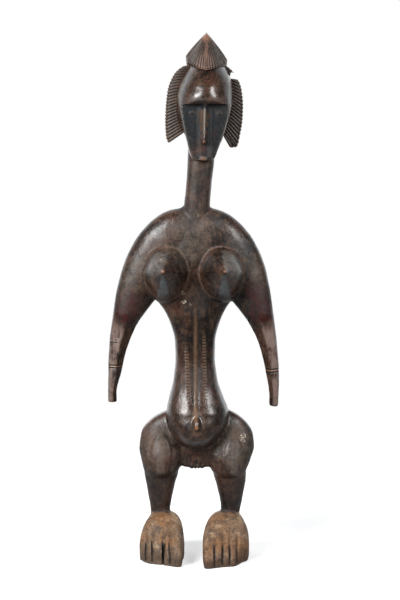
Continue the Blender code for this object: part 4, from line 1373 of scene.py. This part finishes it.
eyes = spots(EYE_SPOTS, fine_blotch)
colour = patina.paint(
    colour,
    # a painted grey reflection on the temples
    (spots(TEMPLE_REFLECTIONS, fine_blotch) * 0.6, REFLECTION_GREY),
    (on_face * patina.step(1 - blotch, 0.25, 0.5) * 0.85, COOL_FACE),
    (flanks * 0.6, NOSE_BROWN),
    # a painted pale highlight along the ridge of the nose
    (nose_ridge_highlight * 0.55, PALE_HIGHLIGHT),
    (nose_base * 0.45, BRIGHT_RUB),
    (eyes, BLACK_OIL),
    # a painted pale highlight along the sharp border of the face
    (patina.mark("border_glint") * patina.step(fine_blotch, 0.3, 0.5) * 0.8, PALE_HIGHLIGHT),
    (knife * 0.75, BLACK_OIL),
)
print("worn spots on the nose:", len(NOSE_FLANKS) + len(NOSE_TOP) + len(NOSE_BASE))

# %% [markdown]
# The feet: bare, dry wood with orange patches and dark toe ends. The hair: dusty ribs over dark cuts,
# rubbed brighter at the peak and down the ridge below it, with a painted highlight along the brim in front.

# %% Bare the feet and dust the hair
BARE, BARE_ORANGE, BARE_DARK = srgb(104, 80, 58), srgb(116, 80, 48), srgb(40, 30, 25)
BARE_PALE, PINK_EDGE = srgb(160, 134, 106), srgb(140, 108, 94)
HAIR_RIB, HAIR_GROOVE = srgb(80, 62, 51), srgb(13, 10, 9)
ankle = 1 - patina.step(along_z + ragged * 3, 51.0, 52.6)
toe_ends = 1 - patina.step(along_z + ragged * 16, 2, 24)
bare = patina.paint(
    BARE,
    (patina.step(blotch + (mottle - 0.5) * 0.5, 0.45, 0.62), BARE_ORANGE),
    (patina.step(grain + (mottle - 0.5) * 0.6, 0.48, 0.72) * 0.75, BARE_DARK),
    (patina.step(fine_blotch + (speckle - 0.5) * 0.5, 0.48, 0.66) * 0.6, BARE_DARK),
    (patina.step(patina.noise(70, 6, 0.75), 0.52, 0.60) * 0.45, BARE_PALE),
    (patina.step(speckle, 0.46, 0.62) * 0.4, BARE_DARK),
    (patina.step(hollow, 0.08, 0.6), BARE_DARK),
    (toe_ends * 0.6, BARE_DARK),
    (knife * 0.85, HAIR_GROOVE),
)
brim_highlight = patina.near((13, -27, 570), 15, fine_blotch) * patina.step(edge - hollow + 0.1, 0.0, 0.3)
crest_ridge = band(along_x + ragged * 3, 14.0, 2.8) * patina.near((14, -12, 585), 26, blotch)
braid = patina.paint(
    HAIR_GROOVE,
    (patina.step(edge - hollow + 0.25, 0.0, 0.55), HAIR_RIB),
    (patina.step(fine_blotch, 0.50, 0.72) * 0.35, RUBBED),
    (patina.near((14, -4, 600), 13, fine_blotch) * 0.55, BRIGHT_RUB),
    # a painted highlight along the brim of the crest in front
    (brim_highlight * 0.9, PINK_EDGE),
    (crest_ridge * 0.45, PINK_EDGE),
)
colour = patina.paint(colour, (ankle, bare), (is_hair, braid))
print("nodes of the finish so far:", len(patina.tree.nodes))

# %% [markdown]
# Last come the pale specks of old whitening and dust that sit on a few places of the chest and hips.

# %% Scatter the pale specks
SPECKS = [((-12.2, -22, 309), 3.2), ((-11.5, -22, 298), 3.6), ((-4, -22, 295), 2.6), ((-35.5, -44, 349), 3.4),
          ((30.2, -46, 352), 3.2), ((57, -14, 141), 6.5), ((36, -20, 122), 2.6), ((-54, -10, 156), 4.5),
          ((5.5, -12, 396), 4.5), ((40.5, -38, 47), 5.5)]
specks = spots(SPECKS, fine_blotch) * patina.step(patina.noise(520, 4, 0.7), 0.50, 0.60)
patina.wear("Base Color", patina.paint(colour, (specks * 0.85, DUST)))
print("pale places:", len(SPECKS))

# %% [markdown]
# ## Gloss
#
# Oil and hands made the forehead, the belly and the forearms glossier than the rest. The chest and the
# thighs are duller, and the bare feet and the dusty hair are nearly matt. A thin coat over the oiled
# wood gives the small sharp glints, and a fine bump breaks them up.

# %% Set the gloss and the fine bump
POLISHED = [((13, -30, 545), 34), ((4, -34, 176), 26), ((-88, -12, 225), 46), ((88, -12, 225), 46),
            ((34, -40, 335), 26), ((-34, -40, 335), 26), ((12, -36, 495), 36)]
DULL = [((5, -15, 415), 40), ((8, -15, 445), 26), ((-74, -14, 300), 24), ((74, -14, 300), 24),
        ((0, -20, 300), 22), ((-52, -12, 142), 24), ((58, -12, 142), 24), ((3.4, -36, 150), 16),
        ((-44, -15, 352), 22), ((48, -15, 352), 22)]
OILED_ROUGHNESS, COAT_LEAST, COAT_MORE = 0.20, 0.04, 0.16
polished, dull = spots(POLISHED, blotch), spots(DULL, blotch)
dry = 1 - patina.step(along_z, 55, 60)
over_brow = band(along_z, 525, 6.0) * (1 - patina.step(along_y, -30, -26))
above_belly = band(along_z, 212, 17.0) * facing
ROUGHER = [(mottle, 0.30), (hazy, 0.12), (dull, 0.22), (hollow, 0.25), (polished, -0.05), (is_hair, 0.16),
           (dry, 0.30), (specks, 0.30), (flanks, 0.30), (over_brow, 0.25), (rims, 0.30), (above_belly, 0.14),
           (eyes, 0.45), (nose_base, 0.35), (nose_corners, 0.40)]
patina.wear("Roughness", OILED_ROUGHNESS + total([where * share for where, share in ROUGHER]))
coat = polished * COAT_MORE + COAT_LEAST
for uncoated in (dry, is_hair, flanks, eyes, nose_base, nose_corners):
    coat = (1 - uncoated) * coat
patina.wear("Coat Weight", coat)
patina.shader.inputs["Coat Roughness"].default_value = 0.16
patina.shader.inputs["Specular IOR Level"].default_value = 0.42
scratches = patina.noise(1.0, 4, 0.65, at=patina.stretched(900, 900, 200))
smooth = 1 - patina.near((13, -34, 545), 30, blotch) * 0.6
pores = patina.noise(600, 2) * (0.35 + ankle * 0.9)
height = (grain * 0.5 + scratches * 0.3 + mottle * 0.8 + pores) * smooth - scars * 0.9 - wrist_rings * 1.2
bump = patina.add("Bump", {"Height": height, "Strength": 0.45, "Distance": 0.0007}, out="Normal")
patina.wear("Normal", bump)
carving.data.materials.clear()
carving.data.materials.append(patina.material)
print("nodes of the whole finish:", len(patina.tree.nodes))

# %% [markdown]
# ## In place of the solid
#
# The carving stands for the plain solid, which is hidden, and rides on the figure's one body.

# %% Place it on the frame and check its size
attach(carving, "root")
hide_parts("figure")
final_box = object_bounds()
grown = [[round(1000 * (b - a), 2) for a, b in zip(*pair)] for pair in zip(solid_box, final_box)]
print("grows by, mm:", grown)
